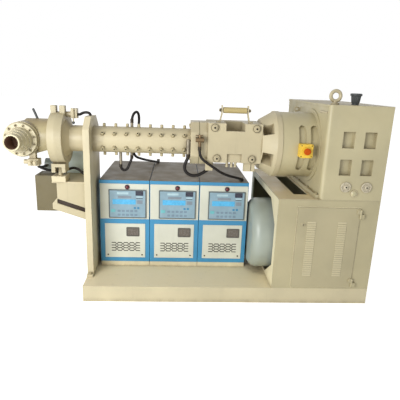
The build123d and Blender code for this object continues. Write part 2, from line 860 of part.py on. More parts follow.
def gearbox():
    """Gearbox case with pockets, feet and lid, and the fittings on its faces."""
    case = block(gearbox_left, right_end, front, front + gearbox_depth, cabinet_top, gearbox_top)
    corner = case.edges().filter_by(Axis.Z).sort_by(lambda e: e.center().X + e.center().Y)[0]
    case = fillet(corner, gearbox_corner)
    for x in pocket_columns:
        for z in pocket_rows:
            left = gearbox_left + x - pocket_width / 2
            low = cabinet_top + z - pocket_height / 2
            case -= block(left, left + pocket_width, front - overrun, front + pocket_depth,
                          low, low + pocket_height)
    case += block(gearbox_left - gearbox_foot_width, gearbox_left, front + gearbox_corner,
                  front + gearbox_depth, cabinet_top, cabinet_top + gearbox_foot_height)
    case += block(gearbox_left - gearbox_lid_overhang, gearbox_left, front + gearbox_corner,
                  front + gearbox_depth, gearbox_top - gearbox_lid, gearbox_top)
    plugs = []
    for x in plug_columns:
        plugs.append(rod_y(plug_radius, gearbox_left + x, front - plug_height, front,
                           cabinet_top + plug_height_above_foot))
    sight = rod_y(sight_radius, gearbox_left + sight_along, front - sight_height, front,
                  cabinet_top + sight_above_foot)
    eye_x = gearbox_left + eye_along
    eye_y = front + eye_setback
    ring_z = gearbox_top + eye_collar_height + eye_shank_height + eye_ring_radius
    eye = rod_z(eye_collar_radius, eye_x, eye_y, gearbox_top, gearbox_top + eye_collar_height)
    eye += rod_z(eye_shank_radius, eye_x, eye_y, gearbox_top + eye_collar_height, ring_z - eye_ring_radius)
    eye += Pos(eye_x, eye_y, ring_z) * Rot(90, 0, 0) * Torus(eye_ring_radius, eye_bar_radius)
    breather_x = gearbox_left + breather_along
    breather_y = front + breather_setback
    neck_top = gearbox_top + breather_height
    breather = Pos(breather_x, breather_y, gearbox_top + breather_height / 2) * Cone(
        breather_foot_radius, breather_radius, breather_height)
    breather += rod_z(breather_cap_radius, breather_x, breather_y, neck_top, neck_top + breather_cap_height)
    return {"gearbox_case": case, "bearing_plugs": Compound(plugs), "sight_glass": sight,
            "lifting_eye": eye, "breather": breather}


def drive_cabinet():
    """Sheet cabinet that carries the gearbox: plates, slot, opening for the motor, and door."""
    back = front + cabinet_depth
    under_top = cabinet_top - sheet
    left = block(cabinet_left, cabinet_left + sheet, front + sheet, back - sheet, base_height, under_top)
    y0 = front + opening_front
    y1 = back - opening_rear
    z0 = base_height + opening_sill
    z1 = cabinet_top - opening_header
    upper_y, upper_z = opening_upper_cut
    lower_y, lower_z = opening_lower_cut
    opening = [(y0, z0 + lower_z), (y0, z1 - upper_z), (y0 + upper_y, z1), (y1, z1), (y1, z0),
               (y0 + lower_y, z0)]
    left -= plate_yz(opening, cabinet_left - overrun, cabinet_left + sheet + overrun)
    right = block(right_end - sheet, right_end, front + sheet, back - sheet, base_height, under_top)
    rear = block(cabinet_left, right_end, back - sheet, back, base_height, under_top)
    top = block(cabinet_left, right_end, front, back, under_top, cabinet_top)
    slot_x = cabinet_left + slot_from_left
    slot_y = front + slot_setback
    top -= block(slot_x, slot_x + slot_width, slot_y, slot_y + slot_length,
                 under_top - overrun, cabinet_top + overrun)
    door_x = cabinet_left + door_from_left
    door_z = base_height + door_sill
    door_top = door_z + door_height
    frame = block(cabinet_left, right_end, front, front + sheet, base_height, under_top)
    frame -= block(door_x - door_gap, door_x + door_width + door_gap, front - overrun,
                   front + sheet + overrun, door_z - door_gap, door_top + door_gap)
    return {"cabinet_side_plates": Compound([left, right]), "cabinet_rear_plate": rear,
            "cabinet_top_plate": top, "cabinet_front_frame": frame, **cabinet_door(door_x, door_z)}


def cabinet_door(door_x, door_z):
    """Inset door on lift-off hinges at its right edge, with a round lock and two louvre columns."""
    door_top = door_z + door_height
    face = front - door_proud
    door = block(door_x, door_x + door_width, face, face + door_thickness, door_z, door_top)
    door += rod_y(lock_radius, door_x + lock_inset, face - lock_height, face, door_top - lock_from_top)
    right_column = door_x + door_width - louvre_to_right - louvre_width
    louvre_rows = door_height - louvre_from_bottom - louvre_from_top - louvre_height
    louvre_pitch = louvre_rows / (louvre_count - 1)
    louvres = []
    for column in (door_x + louvre_from_left, right_column):
        for i in range(louvre_count):
            low = door_z + louvre_from_bottom + i * louvre_pitch
            hood = [(face, low), (face, low + louvre_height), (face - louvre_depth, low)]
            louvres.append(plate_yz(hood, column, column + louvre_width))
    door += louvres
    pin_x = door_x + door_width + door_gap / 2
    pin_y = face - hinge_radius + seat_gap
    spacing = (door_height - 2 * hinge_inset) / (hinge_count - 1)
    hinges = []
    for i in range(hinge_count):
        z = door_z + hinge_inset + i * spacing
        lower = rod_z(hinge_radius, pin_x, pin_y, z - hinge_knuckle, z)
        lower += rod_z(hinge_pin_radius, pin_x, pin_y, z, z + hinge_knuckle)
        leaf = block(pin_x, pin_x + hinge_leaf, pin_y - hinge_radius / 2, front, z - hinge_knuckle, z)
        hinges.append(lower + leaf)
        bottom = z + seat_gap
        upper = rod_z(hinge_radius, pin_x, pin_y, bottom, z + hinge_knuckle)
        upper += block(pin_x - hinge_leaf, pin_x, pin_y - hinge_radius / 2, face, bottom, z + hinge_knuckle)
        upper -= rod_z(hinge_pin_radius + seat_gap, pin_x, pin_y, z, z + hinge_knuckle + overrun)
        door += upper
    return {"access_door": door, "door_hinges": Compound(hinges)}


def main_motor():
    """Round-frame main motor on two foot rails, its end standing out of the cabinet."""
    x0 = tcu_bank_end() + motor_gap
    x1 = x0 + motor_length
    motor = rod_x(motor_radius, x0, x1, motor_y, motor_z)
    rim = motor.edges().filter_by(GeomType.CIRCLE).sort_by(Axis.X)[0]
    motor = fillet(rim, motor_dome)
    foot_x = x0 + motor_foot_inset
    for side in (-1, 1):
        inner = motor_y + side * motor_foot_spread
        y0, y1 = sorted((inner, inner + side * motor_foot_width))
        motor += block(foot_x, foot_x + motor_foot_length, y0, y1, base_height, motor_z)
    return {"main_motor": motor}


def tcu_width():
    """Width of one temperature unit: they share the bay between post and motor."""
    bay = tcu_bank_end() - post_right - tcu_post_gap
    return (bay - (tcu_count - 1) * tcu_gap) / tcu_count


def tcu_bank_end():
    """Right end of the row of temperature units."""
    return cabinet_left - tcu_end_margin


def temperature_units():
    """Row of temperature control units: cabinet, lid, plinth, panels, keypad and lamp."""
    width = tcu_width()
    face = axis_y
    top = tcu_top
    cabinets, lids, plinths, panels, keypads, lamps = [], [], [], [], [], []
    for i in range(tcu_count):
        x0 = post_right + tcu_post_gap + i * (width + tcu_gap)
        x1 = x0 + width
        cabinets.append(block(x0, x1, face, face + tcu_depth, base_height + tcu_plinth, top - tcu_lid))
        plinths.append(block(x0, x1, face + tcu_plinth_inset, face + tcu_depth,
                             base_height, base_height + tcu_plinth))
        lids.append(block(x0 + tcu_lid_inset, x1 - tcu_lid_inset, face + tcu_lid_inset,
                          face + tcu_depth - tcu_lid_inset, top - tcu_lid, top))
        skin = face - tcu_panel_thickness
        upper_top = top - tcu_upper_from_top
        upper_low = upper_top - tcu_upper_height
        panels.append(block(x0 + tcu_upper_side, x1 - tcu_upper_side, skin, face, upper_low, upper_top))
        panels.append(block(x0 + tcu_lower_left, x1 - tcu_lower_right, skin, face,
                            base_height + tcu_lower_from_base, top - tcu_lower_from_top))
        pad_x1 = x1 - keypad_from_right
        pad_z0 = upper_low + keypad_from_low
        keypads.append(block(pad_x1 - keypad_width, pad_x1, skin - keypad_thickness, skin,
                             pad_z0, pad_z0 + keypad_height))
        lamps.append(rod_y(lamp_radius, (x0 + x1) / 2 + lamp_shift, skin - lamp_height, skin,
                           top - lamp_from_top))
    return {"tcu_cabinets": Compound(cabinets), "tcu_lids": Compound(lids),
            "tcu_plinths": Compound(plinths), "tcu_panels": Compound(panels),
            "tcu_keypads": Compound(keypads), "tcu_lamps": Compound(lamps)}


def brass_valve():
    """Brass valve on the front of the bolted flanges, above the return hose."""
    x, y, hose_end = placed(return_hose_route, at_feed)[0]
    z = hose_end + brass_lift
    half = brass_length / 2
    valve = rod_x(brass_radius, x - half, x + half, y, z)
    valve += rod_z(nipple_radius, x, y, hose_end, z)
    valve += rod_y(nipple_radius, x, y, axis_y - flange_half, z)
    handle_z = z + brass_stem_length
    valve += rod_z(brass_stem_radius, x, y, z, handle_z)
    valve += block(x - half, x - half + brass_handle_length, y - brass_handle_width / 2,
                   y + brass_handle_width / 2, handle_z - brass_handle_height, handle_z)
    return {"valve_body": valve}


def hoses():
    """Water and oil hoses between the barrel, feed housing, temperature units and power pack."""
    return {"valve_pipe": hose("valve", valve_pipe_route, at_post, hose_radius),
            "drop_hose": hose("drop", drop_hose_route, at_barrel, hose_radius),
            "rear_hose": hose("rear", rear_hose_route, at_barrel, hose_radius),
            "collar_hose": hose("collar", collar_hose_route, at_feed, collar_hose_radius),
            "return_hose": hose("return", return_hose_route, at_feed, hose_radius),
            "pack_hose": hose("pack", pack_hose_route, at_shelf, hose_radius)}


def hose_fittings():
    """Nipples, elbows and blocks that the hoses end in."""
    fittings = []
    drop = placed(drop_hose_route, at_barrel)
    rear = placed(rear_hose_route, at_barrel)
    for x, y, z in (drop[0], drop[-1], rear[0]):
        low, high = sorted((z, axis_height))
        nipple = rod_z(nipple_radius, x, y, low, high)
        fittings.append(nipple - rod_x(barrel_radius + seat_gap, x - barrel_radius, x + barrel_radius,
                                       axis_y, axis_height))
    for x, y, z in (rear[-1], placed(return_hose_route, at_feed)[-1]):
        elbow = rod_z(elbow_radius, x, y + elbow_reach, tcu_top, z + elbow_radius)
        fittings.append(elbow + rod_y(nipple_radius, x, y, y + elbow_reach, z))
    x, y, z = placed(collar_hose_route, at_feed)[0]
    stub_z = z + manifold_length - manifold_stub_drop
    manifold = rod_z(manifold_radius, x, y, z, z + manifold_length)
    fittings.append(manifold + rod_x(nipple_radius, x, barrel_end, y, stub_z))
    x, y, z = placed(collar_hose_route, at_feed)[-1]
    fittings.append(rod_z(collar_hose_radius, x, y, z, axis_height - feed_bottom))
    pack = placed(pack_hose_route, at_shelf)
    x, y, z = pack[-1]
    fittings.append(rod_x(nipple_radius, x, left_end, y, z))
    x, y, z = pack[0]
    port = rod_y(nipple_radius, x, y, pump_y, z)
    fittings.append(port - rod_x(pump_radius + seat_gap, x - pump_radius, x + pump_radius, pump_y, pump_z))
    return {"hose_fittings": Compound(fittings)}


builders = (base_frame, front_post, pin_barrel, clamp, support_jack, crosshead, head_fittings,
            pack_bracket, power_pack, valve_block, feed_section, guide_roller, lantern_adapter,
            bearing_drum, emergency_stop, gearbox, drive_cabinet, main_motor, temperature_units,
            brass_valve, hoses, hose_fittings)

os.makedirs("parts", exist_ok=True)
for build in builders:
    for name, shape in build().items():
        export_step(shape, f"parts/{name}.step")
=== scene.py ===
"""Looks of a pin-barrel rubber extruder: paints, hoses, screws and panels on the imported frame.

The axes are the frame's own: +X along the screw towards the drive, +Y away from the operator, +Z up.
Hoses, lamps and camera are in metres, small pieces in millimetres.
"""
import json
import math

import bmesh
import bpy
from mathutils import Matrix, Vector


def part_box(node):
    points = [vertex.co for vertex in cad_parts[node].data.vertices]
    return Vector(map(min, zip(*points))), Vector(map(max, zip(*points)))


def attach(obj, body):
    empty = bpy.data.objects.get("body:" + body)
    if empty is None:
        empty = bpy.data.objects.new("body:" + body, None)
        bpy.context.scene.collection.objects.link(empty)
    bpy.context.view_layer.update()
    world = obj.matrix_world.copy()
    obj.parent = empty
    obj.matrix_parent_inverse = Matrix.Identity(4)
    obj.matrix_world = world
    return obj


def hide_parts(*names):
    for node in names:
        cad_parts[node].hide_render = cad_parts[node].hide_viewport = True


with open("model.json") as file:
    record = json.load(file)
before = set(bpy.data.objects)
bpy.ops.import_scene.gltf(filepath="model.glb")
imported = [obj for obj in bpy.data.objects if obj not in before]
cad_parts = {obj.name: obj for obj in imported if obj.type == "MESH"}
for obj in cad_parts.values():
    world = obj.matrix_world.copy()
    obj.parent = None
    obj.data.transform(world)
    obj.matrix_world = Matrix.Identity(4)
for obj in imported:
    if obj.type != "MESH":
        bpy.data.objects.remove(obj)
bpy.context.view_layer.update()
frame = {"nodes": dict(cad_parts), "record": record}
nodes = frame["nodes"]
body = "frame"

# Camera of the photograph
image_size = 400
focal_pixels = 419.1
sensor_width = 36
camera_place = (-0.3563, -3.1193, 1.4352)
camera_yaw_deg = 3.292
camera_pitch_deg = 15.444
camera_roll_deg = 2.094

# Screw line, in millimetres
axis_y = -210
axis_z = 1050

# Gear pump at the left of its motor, in metres
pump_length = 0.11

# Small pieces: their unit, how far they reach into what carries them, and the angle of a sharp edge
mm = 0.001
sunk = 1
sharp_angle = math.radians(35)


def srgb(red, green, blue):
    """Linear colour of an eight-bit one."""
    shares = [value / 255 for value in (red, green, blue)]
    return tuple(s / 12.92 if s <= 0.04045 else ((s + 0.055) / 1.055) ** 2.4 for s in shares) + (1,)


def shaded(color, factor):
    """Darker or lighter colour."""
    return tuple(min(1, channel * factor) for channel in color[:3]) + (1,)


class Finish:
    """One material's nodes, built around a Principled shader."""

    def __init__(self, name, roughness=0.5, metallic=0.0):
        self.material = bpy.data.materials.new(name)
        self.material.use_nodes = True
        self.tree = self.material.node_tree
        self.shader = self.tree.nodes["Principled BSDF"]
        self.shader.inputs["Roughness"].default_value = roughness
        self.shader.inputs["Metallic"].default_value = metallic
        self.place = self.node("ShaderNodeTexCoord").outputs["Object"]

    def node(self, kind, **values):
        made = self.tree.nodes.new(kind)
        for key, value in values.items():
            if hasattr(made, key):
                setattr(made, key, value)
            else:
                made.inputs[key].default_value = value
        return made

    def link(self, output, target):
        self.tree.links.new(output, target)
        return output

    def stretched(self, factors):
        """Object place stretched along its axes."""
        mapping = self.node("ShaderNodeMapping", Scale=factors)
        self.link(self.place, mapping.inputs["Vector"])
        return mapping.outputs["Vector"]

    def noise(self, scale, detail=4.0, rough=0.55, place=None):
        made = self.node("ShaderNodeTexNoise", Scale=scale, Detail=detail, Roughness=rough)
        self.link(place or self.place, made.inputs["Vector"])
        return made.outputs["Fac"]

    def ramp(self, value, low, high, start=0.0, end=1.0):
        """Value taken from low..high to start..end, smoothly."""
        made = self.node("ShaderNodeMapRange", interpolation_type="SMOOTHSTEP")
        for key, number in (("From Min", low), ("From Max", high), ("To Min", start), ("To Max", end)):
            made.inputs[key].default_value = number
        self.link(value, made.inputs["Value"])
        return made.outputs["Result"]

    def times(self, first, second):
        made = self.node("ShaderNodeMath", operation="MULTIPLY")
        self.link(first, made.inputs[0])
        if hasattr(second, "links"):
            self.link(second, made.inputs[1])
        else:
            made.inputs[1].default_value = second
        return made.outputs["Value"]

    def mix(self, factor, first, second):
        """Colour between two, which may be colours or outputs."""
        made = self.node("ShaderNodeMix", data_type="RGBA")
        self.link(factor, made.inputs["Factor"])
        for socket, value in ((made.inputs[6], first), (made.inputs[7], second)):
            if hasattr(value, "links"):
                self.link(value, socket)
            else:
                socket.default_value = value
        return made.outputs[2]

    def crevice(self, distance):
        """One in corners and gaps, zero on open faces."""
        made = self.node("ShaderNodeAmbientOcclusion", Distance=distance, samples=8)
        return self.ramp(made.outputs["AO"], 0.85, 0.35)

    def edge(self, radius):
        """One along sharp edges, zero elsewhere."""
        bevel = self.node("ShaderNodeBevel", Radius=radius, samples=6)
        geometry = self.node("ShaderNodeNewGeometry")
        dot = self.node("ShaderNodeVectorMath", operation="DOT_PRODUCT")
        self.link(bevel.outputs["Normal"], dot.inputs[0])
        self.link(geometry.outputs["Normal"], dot.inputs[1])
        return self.ramp(dot.outputs["Value"], 0.985, 0.82)

    def up(self, low, high):
        """One on faces that look up, from a tilt on, and zero on the rest."""
        geometry = self.node("ShaderNodeNewGeometry")
        split = self.node("ShaderNodeSeparateXYZ")
        self.link(geometry.outputs["Normal"], split.inputs["Vector"])
        return self.ramp(split.outputs["Z"], low, high)

    def before(self, axis, place):
        """One where an axis of the object's place is below a value, zero beyond it."""
        split = self.node("ShaderNodeSeparateXYZ")
        self.link(self.place, split.inputs["Vector"])
        return self.ramp(split.outputs[axis], place + mm, place - mm)

    def color(self, output):
        self.link(output, self.shader.inputs["Base Color"])

    def rough(self, value, low, high):
        self.link(self.ramp(value, 0.3, 0.7, low, high), self.shader.inputs["Roughness"])

    def bump(self, height, strength, distance=mm, round_edge=0.0):
        made = self.node("ShaderNodeBump", Strength=strength, Distance=distance)
        self.link(height, made.inputs["Height"])
        if round_edge:
            bevel = self.node("ShaderNodeBevel", Radius=round_edge, samples=4)
            self.link(bevel.outputs["Normal"], made.inputs["Normal"])
        self.link(made.outputs["Normal"], self.shader.inputs["Normal"])


def paint(name, color, dirt_and_shade=0.5, wear_and_highlight=0.35, roughness=0.42, top=None, left=None,
          tilt=(0.5, 0.95)):
    """Brushed-on machine paint: cloudy tone, orange peel, dark streaks, painted shade in corners and gaps,
    and lighter edges that are partly wear and partly painted highlight.

    Faces that look up can take a tone of their own, which the machine's paints use as painted light and shade
    on their tops, and the part left of a place can have a colour of its own.
    """
    made = Finish(name, roughness)
    # dark brown of the painted shade in corners and gaps
    crevice_shade_tone = shaded((color[0], color[1] * 0.86, color[2] * 0.7), 0.34)
    cloud = made.noise(2.6, 5)
    tone = made.mix(made.ramp(cloud, 0.3, 0.7), shaded(color, 0.9), shaded(color, 1.06))
    if top:
        # up-facing faces in their own tone: painted light and shade for how the lamps reach tops
        tone = made.mix(made.up(*tilt), tone, top)
    if left:
        tone = made.mix(made.before("X", left[0]), tone, left[1])
    streak = made.noise(1.0, 6, 0.65, made.stretched((26, 26, 2.2)))
    tone = made.mix(made.times(made.ramp(streak, 0.56, 0.8), 0.3 * dirt_and_shade), tone, shaded(color, 0.45))
    # painted shade in corners and gaps, broken up by noise
    crevice_shade = made.times(made.crevice(0.07), made.ramp(made.noise(18, 5), 0.25, 0.7, 0.35, 1.0))
    tone = made.mix(made.times(crevice_shade, dirt_and_shade), tone, crevice_shade_tone)
    # sharp edges lighter: partly wear, partly painted highlight, which also brightens the door's louvres
    edge_wear_and_highlight = made.times(made.edge(0.005), made.ramp(made.noise(40, 3), 0.4, 0.62))
    tone = made.mix(made.times(edge_wear_and_highlight, wear_and_highlight), tone, shaded(color, 1.35))
    made.color(tone)
    made.rough(made.noise(9, 4), roughness - 0.08, roughness + 0.14)
    made.bump(made.noise(170, 2), 0.12, 0.0006, round_edge=0.003)
    return made.material


def metal(name, color, roughness=0.34, dirt_and_shade=0.4, turned=True):
    """Machined metal with fine tool marks, darkened in corners and gaps as painted shade together with oily
    soiling.
    """
    made = Finish(name, roughness, 1.0)
    tone = made.mix(made.ramp(made.noise(14, 4), 0.3, 0.7), shaded(color, 0.82), shaded(color, 1.08))
    # painted shade in corners and gaps
    tone = made.mix(made.times(made.crevice(0.02), dirt_and_shade), tone, shaded(color, 0.25))
    made.color(tone)
    made.rough(made.noise(60, 3), roughness - 0.08, roughness + 0.16)
    marks = made.noise(1.0, 3, 0.5, made.stretched((900, 60, 60) if turned else (120, 120, 120)))
    made.bump(marks, 0.1, 0.0004, round_edge=0.0015)
    return made.material


def moulded(name, color, roughness=0.32, grain=320, shine=0.5):
    """Moulded plastic with a fine grain and slight handling marks."""
    made = Finish(name, roughness)
    made.shader.inputs["Specular IOR Level"].default_value = shine
    tone = made.mix(made.ramp(made.noise(22, 4), 0.3, 0.75), shaded(color, 0.9), shaded(color, 1.05))
    # darker in corners and gaps: painted shade
    made.color(made.mix(made.times(made.crevice(0.01), 0.5), tone, shaded(color, 0.4)))
    made.rough(made.noise(70, 3), roughness - 0.06, roughness + 0.12)
    made.bump(made.noise(grain, 2), 0.1, 0.0003, round_edge=0.0012)
    return made.material


def rubber(name, color):
    """Hose rubber with a cloth-wound surface and dusty patches."""
    made = Finish(name, 0.62)
    dust = made.times(made.ramp(made.noise(26, 5), 0.5, 0.8), 0.3)
    made.color(made.mix(dust, color, shaded(color, 2.6)))
    made.shader.inputs["Specular IOR Level"].default_value = 0.3
    made.rough(made.noise(80, 3), 0.5, 0.75)
    made.bump(made.noise(420, 3), 0.35, 0.0006)
    return made.material


def glazing(name, color):
    """Oil sight glass, seen from outside: amber, smooth and clear-coated."""
    made = Finish(name, 0.1)
    made.color(made.mix(made.ramp(made.noise(30, 3), 0.35, 0.7), shaded(color, 0.75), color))
    made.shader.inputs["Coat Weight"].default_value = 0.8
    made.bump(made.noise(90, 2), 0.04, 0.0004)
    return made.material


# Finishes of the record's material slots
beige = srgb(198, 186, 152)
finishes = {
    # tops slightly darker than the rest: painted shade
    "paint": paint("machine_paint", beige, 0.75, top=shaded(beige, 0.96)),
    "paint_dark": paint("tank_paint", srgb(98, 88, 55), 0.8),
    "steel": metal("machined_steel", srgb(176, 168, 150)),
    "roller": paint("roller_sleeve", srgb(194, 176, 122), 0.5),
    "yellow": moulded("stop_yellow", srgb(240, 200, 62)),
    "red": moulded("stop_red", srgb(198, 82, 0), 0.42, shine=0.2),
    "slate": moulded("breather_slate", srgb(66, 70, 70), 0.45),
    "motor_grey": paint("motor_paint", srgb(160, 168, 158), 0.6, 0.3, 0.36),
    "tcu_blue": paint("sheet_blue", srgb(62, 142, 186), 0.45, 0.25, 0.38, top=srgb(120, 111, 96)),
    "tcu_white": paint("sheet_cream", srgb(212, 213, 197), 0.4, 0.2, 0.4),
    "tcu_lid": paint("lid_sheet", srgb(126, 116, 98), 0.5, 0.3, 0.5),
    "keypad": moulded("keypad_membrane", srgb(138, 166, 180), 0.42),
    "lamp_red": moulded("lamp_red", srgb(98, 26, 32), 0.2),
    "glass": glazing("sight_glass_amber", srgb(206, 196, 150)),
    "hose": rubber("hose_rubber", srgb(27, 23, 21)),
    "brass": metal("brass", srgb(116, 98, 74), 0.52, 0.7),
}
# Finishes of small pieces, and of nodes that differ from their slot's
trim = {
    # tops lighter than the rest: painted light
    "base": paint("base_paint", srgb(206, 195, 161), 0.7, 0.35, 0.44, top=srgb(236, 222, 186)),
    # drive, gearbox, drum and door: the machine's beige made darker as painted shade, for the light falling
    # off towards the drive end
    "drive": paint("drive_paint", srgb(185, 175, 139), 0.3, 0.35, 0.42),
    # gearbox tops darker still: painted shade
    "gearbox": paint("gearbox_paint", srgb(193, 183, 146), 0.7, 0.35, 0.42, top=srgb(172, 160, 126)),
    "drum": paint("drum_paint", srgb(193, 183, 146), 0.25, 0.35, 0.42),
    # up-facing faces of the louvre hoods lighter: painted highlight
    "door": paint("door_paint", srgb(180, 170, 136), 0.12, 0.6, 0.38, top=srgb(208, 198, 163),
                  tilt=(0.3, 0.5)),
    # side plates lighter than the machine's beige: painted light on the lit left plate
    "cabinet": paint("cabinet_paint", srgb(238, 228, 192), 0.6, 0.35, 0.42),
    # top plate darker on its edges and lighter on top: painted shade and painted light
    "cabinet_top": paint("cabinet_top_paint", srgb(180, 170, 136), 0.8, 0.2, 0.42, top=srgb(224, 208, 170)),
    "clamp": paint("clamp_paint", srgb(189, 178, 145), 0.75, 0.35, 0.42),
    "head": paint("head_paint", srgb(184, 172, 132), 0.9, 0.4, 0.36, top=srgb(160, 144, 106)),
    "bright": paint("bright_paint", srgb(226, 216, 182), 0.5, 0.3, 0.42),
    "pin": paint("pin_paint", srgb(186, 174, 139), 0.6, 0.05, 0.6),
    "cover": paint("cover_paint", srgb(204, 194, 168), 0.9, 0.4, 0.4),
    # lifted to near white: painted light on a motor that lies in shade; its gear pump at the left is darker
    "pump": paint("pump_painted_light", srgb(236, 255, 250), 0.15, 0.2, 0.4,
                  left=(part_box("pump_motor")[0][0] + pump_length, srgb(104, 110, 104))),
    "nozzle": paint("nozzle_paint", srgb(208, 198, 163), 0.9, 0.5, 0.36),
    "fitting": metal("fitting_steel", srgb(136, 128, 112), 0.5, 0.6, False),
    "nut": metal("nut_steel", srgb(96, 88, 74), 0.42, 0.5, False),
    "ferrule": metal("ferrule_steel", srgb(70, 64, 56), 0.45, 0.5, False),
    # near-black: painted shade inside sockets, the cover centres and the lock's slit; also the feed plate's
    # dark studs and rings
    "socket": metal("socket_black", srgb(52, 46, 38), 0.5, 0.6, False),
    "cavity": paint("cavity_dark", srgb(150, 120, 98), 0.3, 0.0, 0.7),
    "slot_shade": paint("slot_shade_brown", srgb(50, 37, 25), 0.5, 0.0, 0.7),
    "vent": paint("vent_shadow", srgb(62, 60, 54), 0.5, 0.0, 0.7),
    "display": moulded("display_cyan", srgb(84, 180, 228), 0.24),
    "legend": moulded("legend_grey", srgb(128, 140, 150), 0.4),
    "pale": moulded("legend_pale", srgb(176, 204, 212), 0.4),
    "key": moulded("key_grey", srgb(118, 140, 156), 0.4),
    "teal": moulded("key_teal", srgb(110, 186, 190), 0.4),
    "teal_dark": moulded("key_blue", srgb(50, 130, 170), 0.35),
    "navy": moulded("switch_navy", srgb(40, 42, 58), 0.3),
    "bezel": moulded("bezel_grey", srgb(92, 100, 98), 0.4),
    "gauge": moulded("gauge_window", srgb(104, 96, 86), 0.22),
    "gauge_rim": moulded("gauge_rim", srgb(84, 80, 72), 0.35),
}
# Nodes that take one of those
painted_alike = {
    "base": ("deck_plate", "base_side_rails", "front_post", "support_jack"),
    "bright": ("tcu_plinths",),
    "gearbox": ("gearbox_case",),
    "drum": ("bearing_drum",),
    "drive": ("cabinet_front_frame", "cabinet_rear_plate", "door_hinges"),
    "door": ("access_door",),
    "cabinet": ("cabinet_side_plates",),
    "cabinet_top": ("cabinet_top_plate",),
    "clamp": ("clamp_halves", "bracket_cheeks"),
    "head": ("head_body",),
    "nozzle": ("die_nozzle", "die_flange"),
    "pump": ("pump_motor",),
    "fitting": ("hose_fittings",),
}
own_finish = {node: name for name, group in painted_alike.items() for node in group}


def dress_frame():
    """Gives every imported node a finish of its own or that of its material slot."""
    for part in frame["record"]["subparts"]:
        mesh = nodes[part["node"]].data
        mesh.materials.clear()
        own = own_finish.get(part["node"])
        mesh.materials.append(trim[own] if own else finishes[part["material_slot"]])


# Hoses in metres: their radii, and their routes by the same points as the solids' own
hose_radius = 0.009
collar_hose_radius = 0.011
routes = {
    "drop_hose": (hose_radius, [
        (-0.751, -0.21, 0.879), (-0.751, -0.21, 0.858), (-0.737, -0.208, 0.834), (-0.709, -0.204, 0.838),
        (-0.692, -0.196, 0.88), (-0.677, -0.189, 0.916), (-0.677, -0.189, 0.942)]),
    "rear_hose": (hose_radius, [
        (-0.672, -0.21, 1.166), (-0.672, -0.21, 1.194), (-0.662, -0.197, 1.226), (-0.645, -0.168, 1.24),
        (-0.634, -0.136, 1.224), (-0.632, -0.112, 1.186), (-0.638, -0.096, 1.13), (-0.652, -0.086, 1.064),
        (-0.668, -0.084, 1.0), (-0.678, -0.076, 0.938), (-0.664, -0.034, 0.902), (-0.638, 0.04, 0.878),
        (-0.612, 0.138, 0.852), (-0.587, 0.24, 0.828), (-0.561, 0.335, 0.806), (-0.538, 0.408, 0.788),
        (-0.524, 0.456, 0.779), (-0.524, 0.492, 0.779)]),
    "collar_hose": (collar_hose_radius, [
        (-0.287, -0.335, 0.983), (-0.287, -0.335, 0.956), (-0.302, -0.335, 0.926), (-0.311, -0.335, 0.889),
        (-0.297, -0.333, 0.854), (-0.26, -0.33, 0.833), (-0.215, -0.325, 0.836), (-0.178, -0.316, 0.856),
        (-0.146, -0.3, 0.874), (-0.127, -0.283, 0.893), (-0.127, -0.283, 0.916)]),
    "return_hose": (hose_radius, [
        (-0.214, -0.382, 1.04), (-0.214, -0.382, 1.01), (-0.207, -0.384, 0.978), (-0.19, -0.386, 0.955),
        (-0.166, -0.387, 0.938), (-0.14, -0.384, 0.919), (-0.105, -0.371, 0.895), (-0.065, -0.347, 0.865),
        (-0.02, -0.312, 0.84), (0.028, -0.272, 0.82), (0.07, -0.238, 0.805), (0.101, -0.21, 0.791),
        (0.112, -0.184, 0.779), (0.112, -0.16, 0.779)]),
    "pack_hose": (hose_radius, [
        (-1.33, -0.006, 0.813), (-1.33, -0.03, 0.813), (-1.334, -0.08, 0.818), (-1.336, -0.13, 0.828),
        (-1.332, -0.168, 0.838), (-1.318, -0.188, 0.84), (-1.292, -0.192, 0.828), (-1.247, -0.19, 0.818),
        (-1.2, -0.19, 0.812), (-1.15, -0.19, 0.816), (-1.11, -0.19, 0.832), (-1.081, -0.19, 0.841),
        (-1.052, -0.19, 0.832), (-1.03, -0.19, 0.812), (-1.01, -0.19, 0.796), (-0.992, -0.19, 0.792),
        (-0.982, -0.19, 0.792)]),
}


def lay_hoses():
    """One smooth spline for each hose, in place of its plain solid."""
    for name, (radius, points) in routes.items():
        data = bpy.data.curves.new(name + "_line", "CURVE")
        data.dimensions = "3D"
        data.bevel_depth = radius
        data.bevel_resolution = 6
        data.resolution_u = 12
        data.use_fill_caps = True
        spline = data.splines.new("NURBS")
        spline.points.add(len(points) - 1)
        for point, place in zip(spline.points, points):
            point.co = (*place, 1)
        spline.order_u = 3
        spline.use_endpoint_u = True
        data.materials.append(finishes["hose"])
        piece = bpy.data.objects.new(name + "_run", data)
        bpy.context.scene.collection.objects.link(piece)
        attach(piece, body)
        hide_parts(name)


